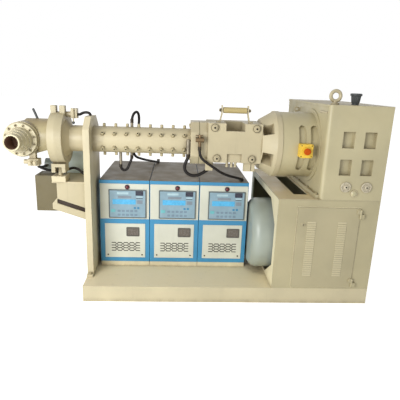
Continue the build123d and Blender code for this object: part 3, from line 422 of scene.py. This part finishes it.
class Shape:
    """One piece's mesh, gathered in millimetres from turned, boxed and outlined forms."""

    def __init__(self, name):
        self.name = name
        self.mesh = bmesh.new()
        self.finishes = []

    def points(self, places):
        return [self.mesh.verts.new(place) for place in places]

    def finish_index(self, finish):
        """Place of a finish in the piece's list, where it is added if new."""
        if finish not in self.finishes:
            self.finishes.append(finish)
        return self.finishes.index(finish)

    def face(self, verts, finish):
        made = self.mesh.faces.new(list(dict.fromkeys(verts)))
        made.material_index = self.finish_index(finish)
        made.smooth = True

    def skin(self, rings, finish):
        """Bands of faces from ring to ring; a ring of one point is the middle of an end."""
        for first, second in zip(rings, rings[1:]):
            count = max(len(first), len(second))
            for side in range(count):
                after = (side + 1) % count
                self.face([first[side % len(first)], first[after % len(first)],
                           second[after % len(second)], second[side % len(second)]], finish)

    def turned(self, place, axis, profile, finish, sides=24, flute=0.0):
        """Profile of (along, radius) points turned about an axis; six sides make a hexagon.

        Every other side of a fluted form lies deeper by a share of its radius.
        """
        turn = Vector(axis).to_track_quat("Z", "Y").to_matrix()
        rings = []
        for along, radius in profile:
            angles = [math.tau * side / sides for side in range(sides if radius else 1)]
            ring = []
            for side, angle in enumerate(angles):
                reach = radius * (1 - flute * (side % 2))
                spoke = Vector((reach * math.cos(angle), reach * math.sin(angle), along))
                ring.append(Vector(place) + turn @ spoke)
            rings.append(self.points(ring))
        self.skin(rings, finish)

    def hoop(self, place, axis, inner, outer, low, high, finish, sides=32):
        """Flat ring with rounded edges, standing from low to high along its axis."""
        edge = min(outer - inner, high - low) / 4
        self.turned(place, axis, [
            (low, inner), (low, outer), (high - edge, outer), (high, outer - edge),
            (high, inner + edge), (high - edge, inner), (low, inner)], finish, sides)

    def stud(self, place, axis, radius, height, finish, depth=sunk):
        """Round stud with a chamfered end."""
        chamfer = 1
        self.turned(place, axis, [(-depth, 0), (-depth, radius), (height - chamfer, radius),
                                  (height, radius - chamfer), (height, 0)], finish)

    def bolt(self, place, axis, radius, finish):
        """Hexagon bolt head on a washer."""
        washer_radius, washer, rim = radius * 1.22, 2, 0.4
        head, chamfer, overlap = radius * 0.72, 1.2, 0.5
        self.turned(place, axis, [
            (-sunk, 0), (-sunk, washer_radius), (washer - rim, washer_radius), (washer, radius * 1.12),
            (washer, 0)], finish)
        self.turned(place, axis, [
            (washer - overlap, 0), (washer - overlap, radius), (head, radius),
            (head + chamfer, radius * 0.84), (head + chamfer, 0)], finish, 6)

    def screw(self, place, axis, radius, finish, hole_shade):
        """Socket head screw: round chamfered head, its socket darkened as painted shade."""
        head, opening, chamfer = radius * 0.55, radius * 0.55, 0.8
        bottom = head * 0.3
        self.turned(place, axis, [(-sunk, 0), (-sunk, radius), (head - chamfer, radius),
                                  (head, radius - chamfer), (head, opening)], finish)
        self.turned(place, axis, [(head, opening), (bottom, opening), (bottom, 0)], hole_shade)

    def slab(self, outline, offset, finish):
        """Outline of places, closed and raised by an offset."""
        back = self.points(outline)
        front = self.points(Vector(place) + Vector(offset) for place in outline)
        self.skin([back, front], finish)
        self.face(back, finish)
        self.face(front, finish)

    def border(self, outer, inner, offset, finish):
        """Band between two outlines, raised by an offset."""
        rise = Vector(offset)
        rings = [self.points(outer), self.points(Vector(place) + rise for place in outer),
                 self.points(Vector(place) + rise for place in inner), self.points(inner)]
        self.skin(rings + rings[:1], finish)

    def box(self, low, high, finish, bevel=1.0):
        """Box with rounded edges."""
        made = bmesh.ops.create_cube(self.mesh, size=1)["verts"]
        for vert in made:
            vert.co = [a + (share + 0.5) * (b - a) for a, b, share in zip(low, high, vert.co)]
        for face in {face for vert in made for face in vert.link_faces}:
            face.material_index = self.finish_index(finish)
            face.smooth = True
        edges = list({edge for vert in made for edge in vert.link_edges})
        bmesh.ops.bevel(self.mesh, geom=edges, offset=bevel, segments=2, profile=0.5, affect="EDGES")

    def made(self, slot, rides=body, replaced=()):
        """Finished piece in the frame, carried by a body. Its slot argument is not used."""
        bmesh.ops.recalc_face_normals(self.mesh, faces=self.mesh.faces)
        bmesh.ops.scale(self.mesh, vec=(mm, mm, mm), verts=self.mesh.verts)
        for edge in self.mesh.edges:
            edge.smooth = len(edge.link_faces) == 2 and edge.calc_face_angle() < sharp_angle
        data = bpy.data.meshes.new(self.name)
        self.mesh.to_mesh(data)
        self.mesh.free()
        for finish in self.finishes:
            data.materials.append(finish)
        piece = bpy.data.objects.new(self.name, data)
        bpy.context.scene.collection.objects.link(piece)
        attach(piece, rides)
        if replaced:
            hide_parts(*replaced)
        return piece


def corners(node):
    """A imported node's lowest and highest corner, in millimetres."""
    return [Vector(corner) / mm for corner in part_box(node)]


def rounded(x0, x1, z0, z1, y, radius=3.0, steps=4):
    """Rectangle with round corners on a front face."""
    places = []
    for x, z, start in ((x1 - radius, z1 - radius, 0), (x0 + radius, z1 - radius, 90),
                        (x0 + radius, z0 + radius, 180), (x1 - radius, z0 + radius, 270)):
        for step in range(steps + 1):
            angle = math.radians(start + 90 * step / steps)
            places.append((x + radius * math.cos(angle), y, z + radius * math.sin(angle)))
    return places


def around(radius, count, first_deg=0.0):
    """Offsets (across, up) of places on a circle, counted from the top."""
    for step in range(count):
        angle = math.radians(first_deg + 360 * step / count)
        yield radius * math.sin(angle), radius * math.cos(angle)


# Directions
to_front = (0, -1, 0)
to_rear = (0, 1, 0)
to_left = (-1, 0, 0)
to_right = (1, 0, 0)
upwards = (0, 0, 1)
downwards = (0, 0, -1)


def pin_heads():
    """Pins in rings round the barrel, each on its washer and with a socket in its end."""
    ring_count, pins_in_ring, sides = 8, 6, 20
    pin_radius, washer_radius, socket_radius, socket_depth = 10, 11.5, 5, 6
    foot, seat, edge, chamfer = 80, 88, 1, 2
    low, high = corners("barrel_pins")
    tip = high.z - axis_z
    bottom = tip - socket_depth
    pitch = (high.x - low.x - 2 * pin_radius) / (ring_count - 1)
    shape = Shape("pin_heads")
    for ring in range(ring_count):
        middle = (low.x + pin_radius + ring * pitch, axis_y, axis_z)
        for across, up in around(1, pins_in_ring):
            out = (0, -across, up)
            shape.turned(middle, out, [
                (foot, 0), (foot, washer_radius), (seat - edge, washer_radius), (seat, washer_radius - edge),
                (seat, pin_radius - edge), (seat + edge, pin_radius), (tip - chamfer, pin_radius),
                (tip, pin_radius - chamfer), (tip, socket_radius)], trim["pin"], sides)
            # the socket in near-black: painted shade
            shape.turned(middle, out, [(tip, socket_radius), (bottom, socket_radius), (bottom, 0)],
                         trim["socket"], sides)
    shape.made("steel", replaced=["barrel_pins"])


def die_screws():
    """Socket screws round the die flange, and the dark wall of the nozzle's bore."""
    circle_radius, screw_count, first_deg = 93, 12, 17
    screw_radius, ring_inner, ring_outer, ring_rise = 7.6, 8.2, 10, 0.5
    low, high = corners("die_flange")
    middle = (low + high) / 2
    shape = Shape("die_screws")
    for across, up in around(circle_radius, screw_count, first_deg):
        place = (middle.x + across, low.y, middle.z + up)
        shape.hoop(place, to_front, ring_inner, ring_outer, -sunk, ring_rise, trim["pin"])
        shape.screw(place, to_front, screw_radius, trim["pin"], trim["socket"])
    shape.made("steel")

    bore_radius, depth, rim, play, sides = 41.5, 120, 1.5, 0.4, 48
    tip = corners("die_nozzle")[0].y
    liner = Shape("die_bore_wall")
    liner.turned((middle.x, tip, middle.z), to_rear, [
        (rim, bore_radius + play), (depth, bore_radius), (depth, 0)], trim["cavity"], sides)
    liner.made("paint")


def feed_plate_studs():
    """Ringed studs on the feed plate's bosses, and the nipples below the housing."""
    lower_inset, upper_inset, boss_edge, boss_depth = 62, 42, 29, 9
    stud_radius, stud_height, stud_depth = 6.5, 4, 2
    nipple_offsets, nipple_setback = (-45, -13, 13), 51
    low, high = corners("feed_front_plate")
    shape = Shape("feed_studs")
    for inset, z in ((lower_inset, low.z + boss_edge), (upper_inset, high.z - boss_edge)):
        for x in (low.x + inset, high.x - inset):
            place = (x, low.y + boss_depth, z)
            shape.hoop(place, to_front, 22.5, 25.5, -sunk, 0.5, trim["socket"])
            shape.hoop(place, to_front, 13, 19, -sunk, 2.5, finishes["paint"])
            shape.stud((x, low.y, z), to_front, stud_radius, stud_height, trim["socket"], stud_depth)
    for offset in nipple_offsets:
        place = ((low.x + high.x) / 2 + offset, low.y + nipple_setback, low.z)
        shape.turned(place, downwards, [
            (-4, 0), (-4, 10), (8, 10), (9, 8), (24, 8), (25, 9.5), (33, 9.5), (34, 8), (34, 0)],
            finishes["paint"])
    shape.made("steel")


def axle_nuts():
    """Lock nuts outside the roller's arms."""
    nut_radius, arm_reach = 12.5, 13
    low, high = corners("roller_axle")
    roller_low, roller_high = corners("guide_roller")
    middle = (low + high) / 2
    arm_outside = (roller_high.x - roller_low.x) / 2 + arm_reach
    shape = Shape("axle_nuts")
    for out in (to_left, to_right):
        shape.bolt((middle.x + arm_outside * out[0], middle.y, middle.z), out, nut_radius, trim["nut"])
    shape.made("steel")


def barrel_flange_bolts():
    """Bolts of the barrel's rear flange, and the dark joint between it and the feed housing.

    One bolt's place is taken up by a hose's fitting.
    """
    circle_radius, bolt_count, first_deg, taken, bolt_radius = 118, 8, 22.5, 5, 11
    chamfer, joint_width, joint_proud, joint_depth = 60, 3, 0.7, 2
    low, high = corners("barrel_rear_flange")
    shape = Shape("barrel_flange_bolts")
    outlines = []
    for proud in (joint_proud, -joint_depth):
        half = (high.z - low.z) / 2 + proud
        corner = half - chamfer
        octagon = ((-corner, half), (corner, half), (half, corner), (half, -corner),
                   (corner, -half), (-corner, -half), (-half, -corner), (-half, corner))
        outlines.append([(high.x - joint_width / 2, axis_y + across, axis_z + up) for across, up in octagon])
    shape.border(*outlines, (joint_width, 0, 0), finishes["paint_dark"])
    for step, (across, up) in enumerate(around(circle_radius, bolt_count, first_deg)):
        if step != taken:
            shape.bolt((low.x, axis_y + across, axis_z + up), to_left, bolt_radius, trim["pin"])
    shape.made("steel")


def bracket_slot_shade():
    """Dark plate on the inside of the front bracket cheek, which closes that cheek's slot: painted shade for
    the dark seen through it.
    """
    slot_length, slot_height, slot_edge, slot_from_root, slot_rise = 190, 33, 56, 11, 63
    cheek, plate, overlap, margin = 10, 2, 0.5, 8
    low, high = corners("bracket_cheeks")
    right = high.x - slot_from_root + margin
    left = right - slot_length - 2 * margin
    bottom = low.z + slot_edge - margin
    top = bottom + slot_height + 2 * margin
    inside = low.y + cheek - overlap
    shape = Shape("bracket_slot_shade")
    # near-black brown plate: painted shade behind the slot
    shape.slab([(right, inside, bottom), (right, inside, top), (left, inside, top + slot_rise),
                (left, inside, bottom + slot_rise)], (0, plate, 0), trim["slot_shade"])
    shape.made("paint")


def bearing_covers():
    """Stepped covers, each with a ring of screws, on the gearbox's two front bearings."""
    circle_radius, screw_count, first_deg, screw_radius, screw_seat, sides = 29, 6, 30, 3, 9.5, 40
    low, high = corners("bearing_plugs")
    radius = (high.z - low.z) / 2
    z = low.z + radius
    shape = Shape("bearing_covers")
    for x in (low.x + radius, high.x - radius):
        place = (x, high.y, z)
        shape.turned(place, to_front, [
            (-sunk, 0), (-sunk, radius), (8, radius), (10, 32), (10, 25), (7, 24), (7, 15), (13, 14),
            (15, 12), (16, 9), (16, 5)], trim["cover"], sides)
        # the cover's centre socket in near-black: painted shade
        shape.turned(place, to_front, [(16, 5), (9, 5), (9, 0)], trim["socket"], sides)
        for across, up in around(circle_radius, screw_count, first_deg):
            shape.screw((x + across, high.y - screw_seat, z + up), to_front, screw_radius, trim["cover"],
                        trim["socket"])
    shape.made("steel", replaced=["bearing_plugs"])


def sight_dome():
    """Ringed dome of the oil sight glass."""
    sides = 40
    low, high = corners("sight_glass")
    place = ((low.x + high.x) / 2, high.y, (low.z + high.z) / 2)
    shape = Shape("sight_dome")
    shape.turned(place, to_front, [(-sunk, 0), (-sunk, 24), (5, 24), (6.5, 22.5), (6.5, 19)],
                 finishes["paint"], sides)
    shape.turned(place, to_front, [(6.5, 19.2), (9, 17.5), (12, 13), (13.5, 7), (14, 0)],
                 finishes["glass"], sides)
    shape.made("glass", replaced=["sight_glass"])


def fluted_breather():
    """Breather on the gearbox: round foot, fluted body and rounded cap."""
    sides, flute = 40, 0.07
    low, high = corners("breather")
    place = ((low.x + high.x) / 2, (low.y + high.y) / 2, low.z)
    shape = Shape("fluted_breather")
    for profile, depth in (
            ([(0, 0), (0, 22), (10, 22), (14, 24)], 0),
            ([(14, 25), (16, 26), (52, 30.5), (56, 31), (56, 0)], flute),
            ([(55, 0), (55, 33), (57, 36), (60, 37), (66, 37), (69, 35), (71, 30), (71, 0)], 0)):
        shape.turned(place, upwards, profile, finishes["slate"], sides, depth)
    shape.made("slate", replaced=["breather"])


def gearbox_trim():
    """Foot bolts along the gearbox's left side, and the eye and the ledge near that side's top."""
    foot_width, foot_height, bolt_radius = 22, 26, 8.5
    bolt_setbacks = (50, 250, 470, 690, 910)
    low, high = corners("gearbox_case")
    bolts = Shape("gearbox_bolts")
    for setback in bolt_setbacks:
        bolts.bolt((low.x + foot_width / 2, low.y + setback, low.z + foot_height), upwards, bolt_radius,
                   trim["pin"])
    bolts.made("steel")

    eye_setback, eye_drop, boss_radius, boss_height = 668, 64, 14, 5
    ring_inner, ring_outer, ring_half, ring_reach = 10, 20, 5, 21
    ledge_setback, ledge_drop, ledge_edge = 31, 54, 1.5
    ledge_depth, ledge_length, ledge_height = 7, 138, 11
    side = low.x + foot_width
    eye_y, eye_z = low.y + eye_setback, high.z - eye_drop
    ledge_y, ledge_z = low.y + ledge_setback, high.z - ledge_drop
    eye = Shape("gearbox_side_eye")
    eye.stud((side, eye_y, eye_z), to_left, boss_radius, boss_height, finishes["paint"])
    eye.hoop((side - ring_reach, eye_y, eye_z), to_rear, ring_inner, ring_outer, -ring_half, ring_half,
             finishes["paint"])
    eye.box((side - ledge_depth, ledge_y, ledge_z),
            (side + sunk, ledge_y + ledge_length, ledge_z + ledge_height), finishes["paint"], ledge_edge)
    eye.made("paint")


def strip(shape, start, end, width, y, height, finish):
    """Straight narrow strip between two (x, z) places on a front face."""
    along = Vector((end[0] - start[0], end[1] - start[1])).normalized() * width / 2
    outline = [(start[0] - along.x - along.y, y, start[1] - along.y + along.x),
               (start[0] - along.x + along.y, y, start[1] - along.y - along.x),
               (end[0] + along.x + along.y, y, end[1] + along.y - along.x),
               (end[0] + along.x - along.y, y, end[1] + along.y + along.x)]
    shape.slab(outline, (0, -height, 0), finish)


def vent(shape, left, low, y):
    """Pressed honeycomb of flattened cells: rows of dashes joined by slants to points between them."""
    columns, rows = 5, 4
    pitch_x, pitch_z, dash, link = 44, 20.5, 24, 6
    dash_width, link_width, slant_width = 6.5, 6, 4.5
    height, slant_height = 0.7, 0.6
    for column in range(columns):
        x = left + column * pitch_x
        for row in range(rows):
            z = low + row * pitch_z
            strip(shape, (x, z), (x + dash, z), dash_width, y, height, trim["vent"])
        if column == columns - 1:
            continue
        joint = x + (dash + pitch_x) / 2
        for row in range(rows - 1):
            z = low + (row + 0.5) * pitch_z
            strip(shape, (joint - link / 2, z), (joint + link / 2, z), link_width, y, height, trim["vent"])
            for end, near in ((x + dash, joint - link / 2), (x + pitch_x, joint + link / 2)):
                for up in (-0.5, 0.5):
                    strip(shape, (end, z + up * pitch_z), (near, z), slant_width, y, slant_height,
                          trim["vent"])


def control_panel(shape, left, right, low, high, y):
    """Bezel, displays, switch and keys of one keypad; their places count from its lower left corner."""
    rim, rim_rise = 7, 1.5
    shape.border(rounded(left, right, low, high, y, 4),
                 rounded(left + rim, right - rim, low + rim, high - rim, y, 3), (0, -rim_rise, 0),
                 trim["bezel"])
    for x0, x1, z0, z1, finish in (
            (27, 191, 103, 140, "display"), (66, 161, 149, 165, "legend"), (60, 140, 176, 192, "pale"),
            (190, 245, 169, 203, "navy"), (195, 240, 153, 164, "pale"), (195, 240, 147, 151, "navy"),
            (201, 240, 108, 134, "legend"), (16, 46, 44, 66, "teal")):
        shape.slab(rounded(left + x0, left + x1, low + z0, low + z1, y, 2), (0, -0.8, 0), trim[finish])
    for x0, x1, z0, z1 in ((177, 193, 70, 84), (201, 217, 70, 84)):
        shape.slab(rounded(left + x0, left + x1, low + z0, low + z1, y, 5), (0, -rim_rise, 0),
                   trim["teal_dark"])
    columns, rows = 5, 2
    key_left, key_low, key_width, key_height, key_rise = 62, 17, 20, 15, 1
    pitch_x, pitch_z = 30, 29
    for column in range(columns):
        for row in range(rows):
            x = left + key_left + column * pitch_x
            z = low + key_low + row * pitch_z
            shape.slab(rounded(x, x + key_width, z, z + key_height, y, 3), (0, -key_rise, 0), trim["key"])


def gauge(shape, left, low, y):
    """Window of a unit's gauge in its rim."""
    width, height, rim, rim_rise, glass_rise = 94, 70, 8, 3, 1
    window = rounded(left, left + width, low, low + height, y, 7)
    glass = rounded(left + rim, left + width - rim, low + rim, low + height - rim, y, 5)
    shape.border(window, glass, (0, -rim_rise, 0), trim["gauge_rim"])
    shape.slab(glass, (0, -glass_rise, 0), trim["gauge"])


def unit_fronts():
    """Control panel, gauge window, vent, screws and lamp of each temperature unit."""
    unit_gap, lamp_radius, lamp_sides = 3, 17, 32
    gauge_insets, gauge_rise = (187, 205, 209), 166
    vent_inset, vent_rise = 82, 54
    screw_insets, screw_rise, screw_radius = (52, 300), 21, 5.5
    unit_low, unit_high = corners("tcu_cabinets")
    pad_low, pad_high = corners("tcu_keypads")
    lamp_low, lamp_high = corners("tcu_lamps")
    panel_low = corners("tcu_panels")[0]
    pitch = (unit_high.x - unit_low.x + unit_gap) / len(gauge_insets)
    pad_width = pad_high.x - pad_low.x - pitch * (len(gauge_insets) - 1)
    fronts = Shape("unit_fronts")
    lamps = Shape("unit_lamps")
    for unit, gauge_inset in enumerate(gauge_insets):
        left = unit_low.x + unit * pitch
        pad = pad_low.x + unit * pitch
        control_panel(fronts, pad, pad + pad_width, pad_low.z, pad_high.z, pad_low.y)
        gauge(fronts, left + gauge_inset, panel_low.z + gauge_rise, panel_low.y)
        vent(fronts, left + vent_inset, panel_low.z + vent_rise, panel_low.y)
        for inset in screw_insets:
            fronts.screw((left + inset, panel_low.y, panel_low.z + screw_rise), to_front, screw_radius,
                         trim["nut"], trim["socket"])
        place = (lamp_low.x + lamp_radius + unit * pitch, panel_low.y, (lamp_low.z + lamp_high.z) / 2)
        lamps.turned(place, to_front, [
            (-sunk, 0), (-sunk, lamp_radius), (4, lamp_radius), (6, 15.5), (6, 13)], trim["navy"], lamp_sides)
        lamps.turned(place, to_front, [(5, 13.2), (9, 12.4), (12, 9.5), (13.5, 5.5), (14, 0)],
                     finishes["lamp_red"], lamp_sides)
    fronts.made("tcu_white")
    lamps.made("lamp_red", replaced=["tcu_lamps"])


def small_fittings():
    """Screws of the stop box, bolts of the post's feet and nuts of the head's latch."""
    shape = Shape("small_fittings")
    screw_inset, screw_radius, lid_depth = 9, 3.6, 7
    low, high = corners("estop_box")
    for x in (low.x + screw_inset, high.x - screw_inset):
        for z in (low.z + screw_inset, high.z - screw_inset):
            shape.screw((x, low.y + lid_depth, z), to_front, screw_radius, trim["nut"], trim["socket"])
    bolt_inset, bolt_radius, foot_height = 18, 12, 16
    low, high = corners("front_post")
    for y in (low.y + bolt_inset, high.y - bolt_inset):
        shape.bolt(((low.x + high.x) / 2, y, low.z + foot_height), upwards, bolt_radius, trim["pin"])
    nut_insets, nut_setback, nut_rise, nut_radius = (49, 17), 16, 22, 13
    low, high = corners("head_latch")
    for inset in nut_insets:
        shape.bolt((high.x - inset, low.y + nut_setback, low.z + nut_rise), to_front, nut_radius,
                   finishes["paint"])
    shape.made("steel")


def valve_knob():
    """Ball knob of plastic over the ball of the valve block's lever."""
    knob_radius, ball_radius, lever_inset, steps = 9.8, 9, 20, 12
    low, high = corners("valve_block")
    turns = [math.pi * step / steps for step in range(1, steps)]
    profile = [(-knob_radius * math.cos(turn), knob_radius * math.sin(turn)) for turn in turns]
    shape = Shape("valve_knob")
    shape.turned((high.x - lever_inset, low.y + ball_radius, low.z + ball_radius), upwards,
                 [(-knob_radius, 0), *profile, (knob_radius, 0)], finishes["slate"])
    shape.made("slate")


def door_trim():
    """Key slit of the door's lock, a near-black mark of painted shade, and the door stop with the folded edge
    of its opening.
    """
    lock_inset, lock_drop, lock_proud = 40, 118, 12
    slit_width, slit_height, slit_rise = 3.2, 14, 0.5
    low, high = corners("access_door")
    frame_low, frame_high = corners("cabinet_front_frame")
    x = low.x + lock_inset
    z = high.z - lock_drop
    lock = Shape("lock_slit")
    # slit as a near-black mark: painted shade
    lock.slab(rounded(x - slit_width / 2, x + slit_width / 2, z - slit_height / 2, z + slit_height / 2,
                      frame_low.y - lock_proud, 1), (0, -slit_rise, 0), trim["socket"])
    lock.made("paint", rides="access_door")

    door_to_right = 126
    stop_reach, stop_sill, stop_lap, stop_depth, stop_thickness = 20, 10, 12, 6, 5.6
    opening_gap, folded_gap, hinge_gap, folded_depth = 5, 1, 3, 7.6
    door_right = frame_high.x - door_to_right
    back = frame_high.y

    def grown(left, right, below, above, y):
        """The door's outline on a plane, grown by an amount on each side."""
        return rounded(low.x - left, door_right + right, low.z - below, high.z + above, y)

    stop = Shape("door_stop")
    # the stop in the light paint so that the gap round the door shows less dark: painted light
    stop.border(grown(stop_reach, stop_reach, stop_sill, stop_reach, back + stop_depth),
                grown(-stop_lap, -stop_lap, -stop_lap, -stop_lap, back + stop_depth),
                (0, -stop_thickness, 0), trim["bright"])
    stop.border(grown(opening_gap, opening_gap, opening_gap, opening_gap, back),
                grown(folded_gap, hinge_gap, folded_gap, folded_gap, back),
                (0, -folded_depth, 0), trim["cabinet"])
    stop.made("paint")


def hose_ferrules():
    """Crimped sleeves over both ends of every hose."""
    longest = 26
    crimps, crimp_width = (0.2, 0.45, 0.7), 0.08
    shape = Shape("hose_ferrules")
    for radius, points in routes.values():
        bore = radius / mm
        for end, after in ((points[0], points[1]), (points[-1], points[-2])):
            away = Vector(after) - Vector(end)
            length = min(longest, away.length / mm)
            profile = [(0, 0), (0, bore * 1.28)]
            for share in crimps:
                profile += [(length * share, bore * 1.3), (length * (share + crimp_width), bore * 1.14),
                            (length * (share + 2 * crimp_width), bore * 1.3)]
            profile += [(length * 0.95, bore * 1.25), (length, bore * 1.1), (length, 0)]
            shape.turned(Vector(end) / mm, away, profile, trim["ferrule"])
    shape.made("steel")


def stand_stage():
    """White floor that keeps the shadow, white surround, and soft lamps near the viewer."""
    reach, floor_glow = 30, 0.75
    surround_light, surround_seen = 0.36, 1.0
    mesh = bpy.data.meshes.new("floor")
    mesh.from_pydata([(-reach, -reach, 0), (reach, -reach, 0), (reach, reach, 0), (-reach, reach, 0)],
                     [], [(0, 1, 2, 3)])
    floor = bpy.data.objects.new("floor", mesh)
    bpy.context.scene.collection.objects.link(floor)
    pale = Finish("floor_white", 0.9)
    pale.color(pale.mix(pale.noise(0.7, 3), srgb(240, 240, 238), srgb(244, 244, 243)))
    white_for_view(pale.tree, pale.shader, floor_glow)
    mesh.materials.append(pale.material)
    world = bpy.data.worlds.new("surround")
    bpy.context.scene.world = world
    world.use_nodes = True
    background = world.node_tree.nodes["Background"]
    background.inputs["Color"].default_value = (1, 1, 1, 1)
    strength = world.node_tree.nodes.new("ShaderNodeMapRange")
    strength.inputs["To Min"].default_value = surround_light
    strength.inputs["To Max"].default_value = surround_seen
    world.node_tree.links.new(viewed(world.node_tree), strength.inputs["Value"])
    world.node_tree.links.new(strength.outputs["Result"], background.inputs["Strength"])
    lamp("key_lamp", (-2.5, -3.2, 1.6), (-0.3, -0.2, 0.7), 2.2, 125)
    lamp("side_lamp", (2.2, -4.6, 1.6), (0.4, -0.2, 0.7), 2.4, 14)


def viewed(tree):
    """One for rays that the viewer, a mirror or a glass sees."""
    path = tree.nodes.new("ShaderNodeLightPath")
    total = path.outputs["Is Camera Ray"]
    for name in ("Is Glossy Ray", "Is Transmission Ray"):
        most = tree.nodes.new("ShaderNodeMath")
        most.operation = "MAXIMUM"
        tree.links.new(total, most.inputs[0])
        tree.links.new(path.outputs[name], most.inputs[1])
        total = most.outputs["Value"]
    return total


def white_for_view(tree, shader, strength):
    """Lifts a surface towards white where it is looked at, without lighting anything."""
    glow = tree.nodes.new("ShaderNodeEmission")
    level = tree.nodes.new("ShaderNodeMath")
    level.operation = "MULTIPLY"
    level.inputs[1].default_value = strength
    tree.links.new(viewed(tree), level.inputs[0])
    tree.links.new(level.outputs["Value"], glow.inputs["Strength"])
    add = tree.nodes.new("ShaderNodeAddShader")
    tree.links.new(shader.outputs["BSDF"], add.inputs[0])
    tree.links.new(glow.outputs["Emission"], add.inputs[1])
    tree.links.new(add.outputs["Shader"], tree.nodes["Material Output"].inputs["Surface"])


def lamp(name, place, target, size, power):
    """Square soft lamp that looks at a point."""
    data = bpy.data.lights.new(name, "AREA")
    data.size = size
    data.energy = power
    made = bpy.data.objects.new(name, data)
    made.location = place
    made.rotation_euler = (Vector(target) - Vector(place)).to_track_quat("-Z", "Y").to_euler()
    bpy.context.scene.collection.objects.link(made)


def set_camera():
    """Camera where the photograph was taken from."""
    data = bpy.data.cameras.new("camera")
    data.sensor_width = sensor_width
    data.lens = sensor_width * focal_pixels / image_size
    made = bpy.data.objects.new("camera", data)
    turn = (Matrix.Rotation(math.radians(-camera_yaw_deg), 4, "Z")
            @ Matrix.Rotation(math.radians(90 - camera_pitch_deg), 4, "X")
            @ Matrix.Rotation(math.radians(camera_roll_deg), 4, "Z"))
    made.matrix_world = Matrix.Translation(camera_place) @ turn
    bpy.context.scene.collection.objects.link(made)
    bpy.context.scene.camera = made
    bpy.context.scene.view_settings.view_transform = "Standard"


dress_frame()
lay_hoses()
for make in (pin_heads, die_screws, feed_plate_studs, axle_nuts, barrel_flange_bolts, bracket_slot_shade,
             bearing_covers, sight_dome, fluted_breather, gearbox_trim, unit_fronts, small_fittings,
             valve_knob, door_trim, hose_ferrules):
    make()
stand_stage()
set_camera()
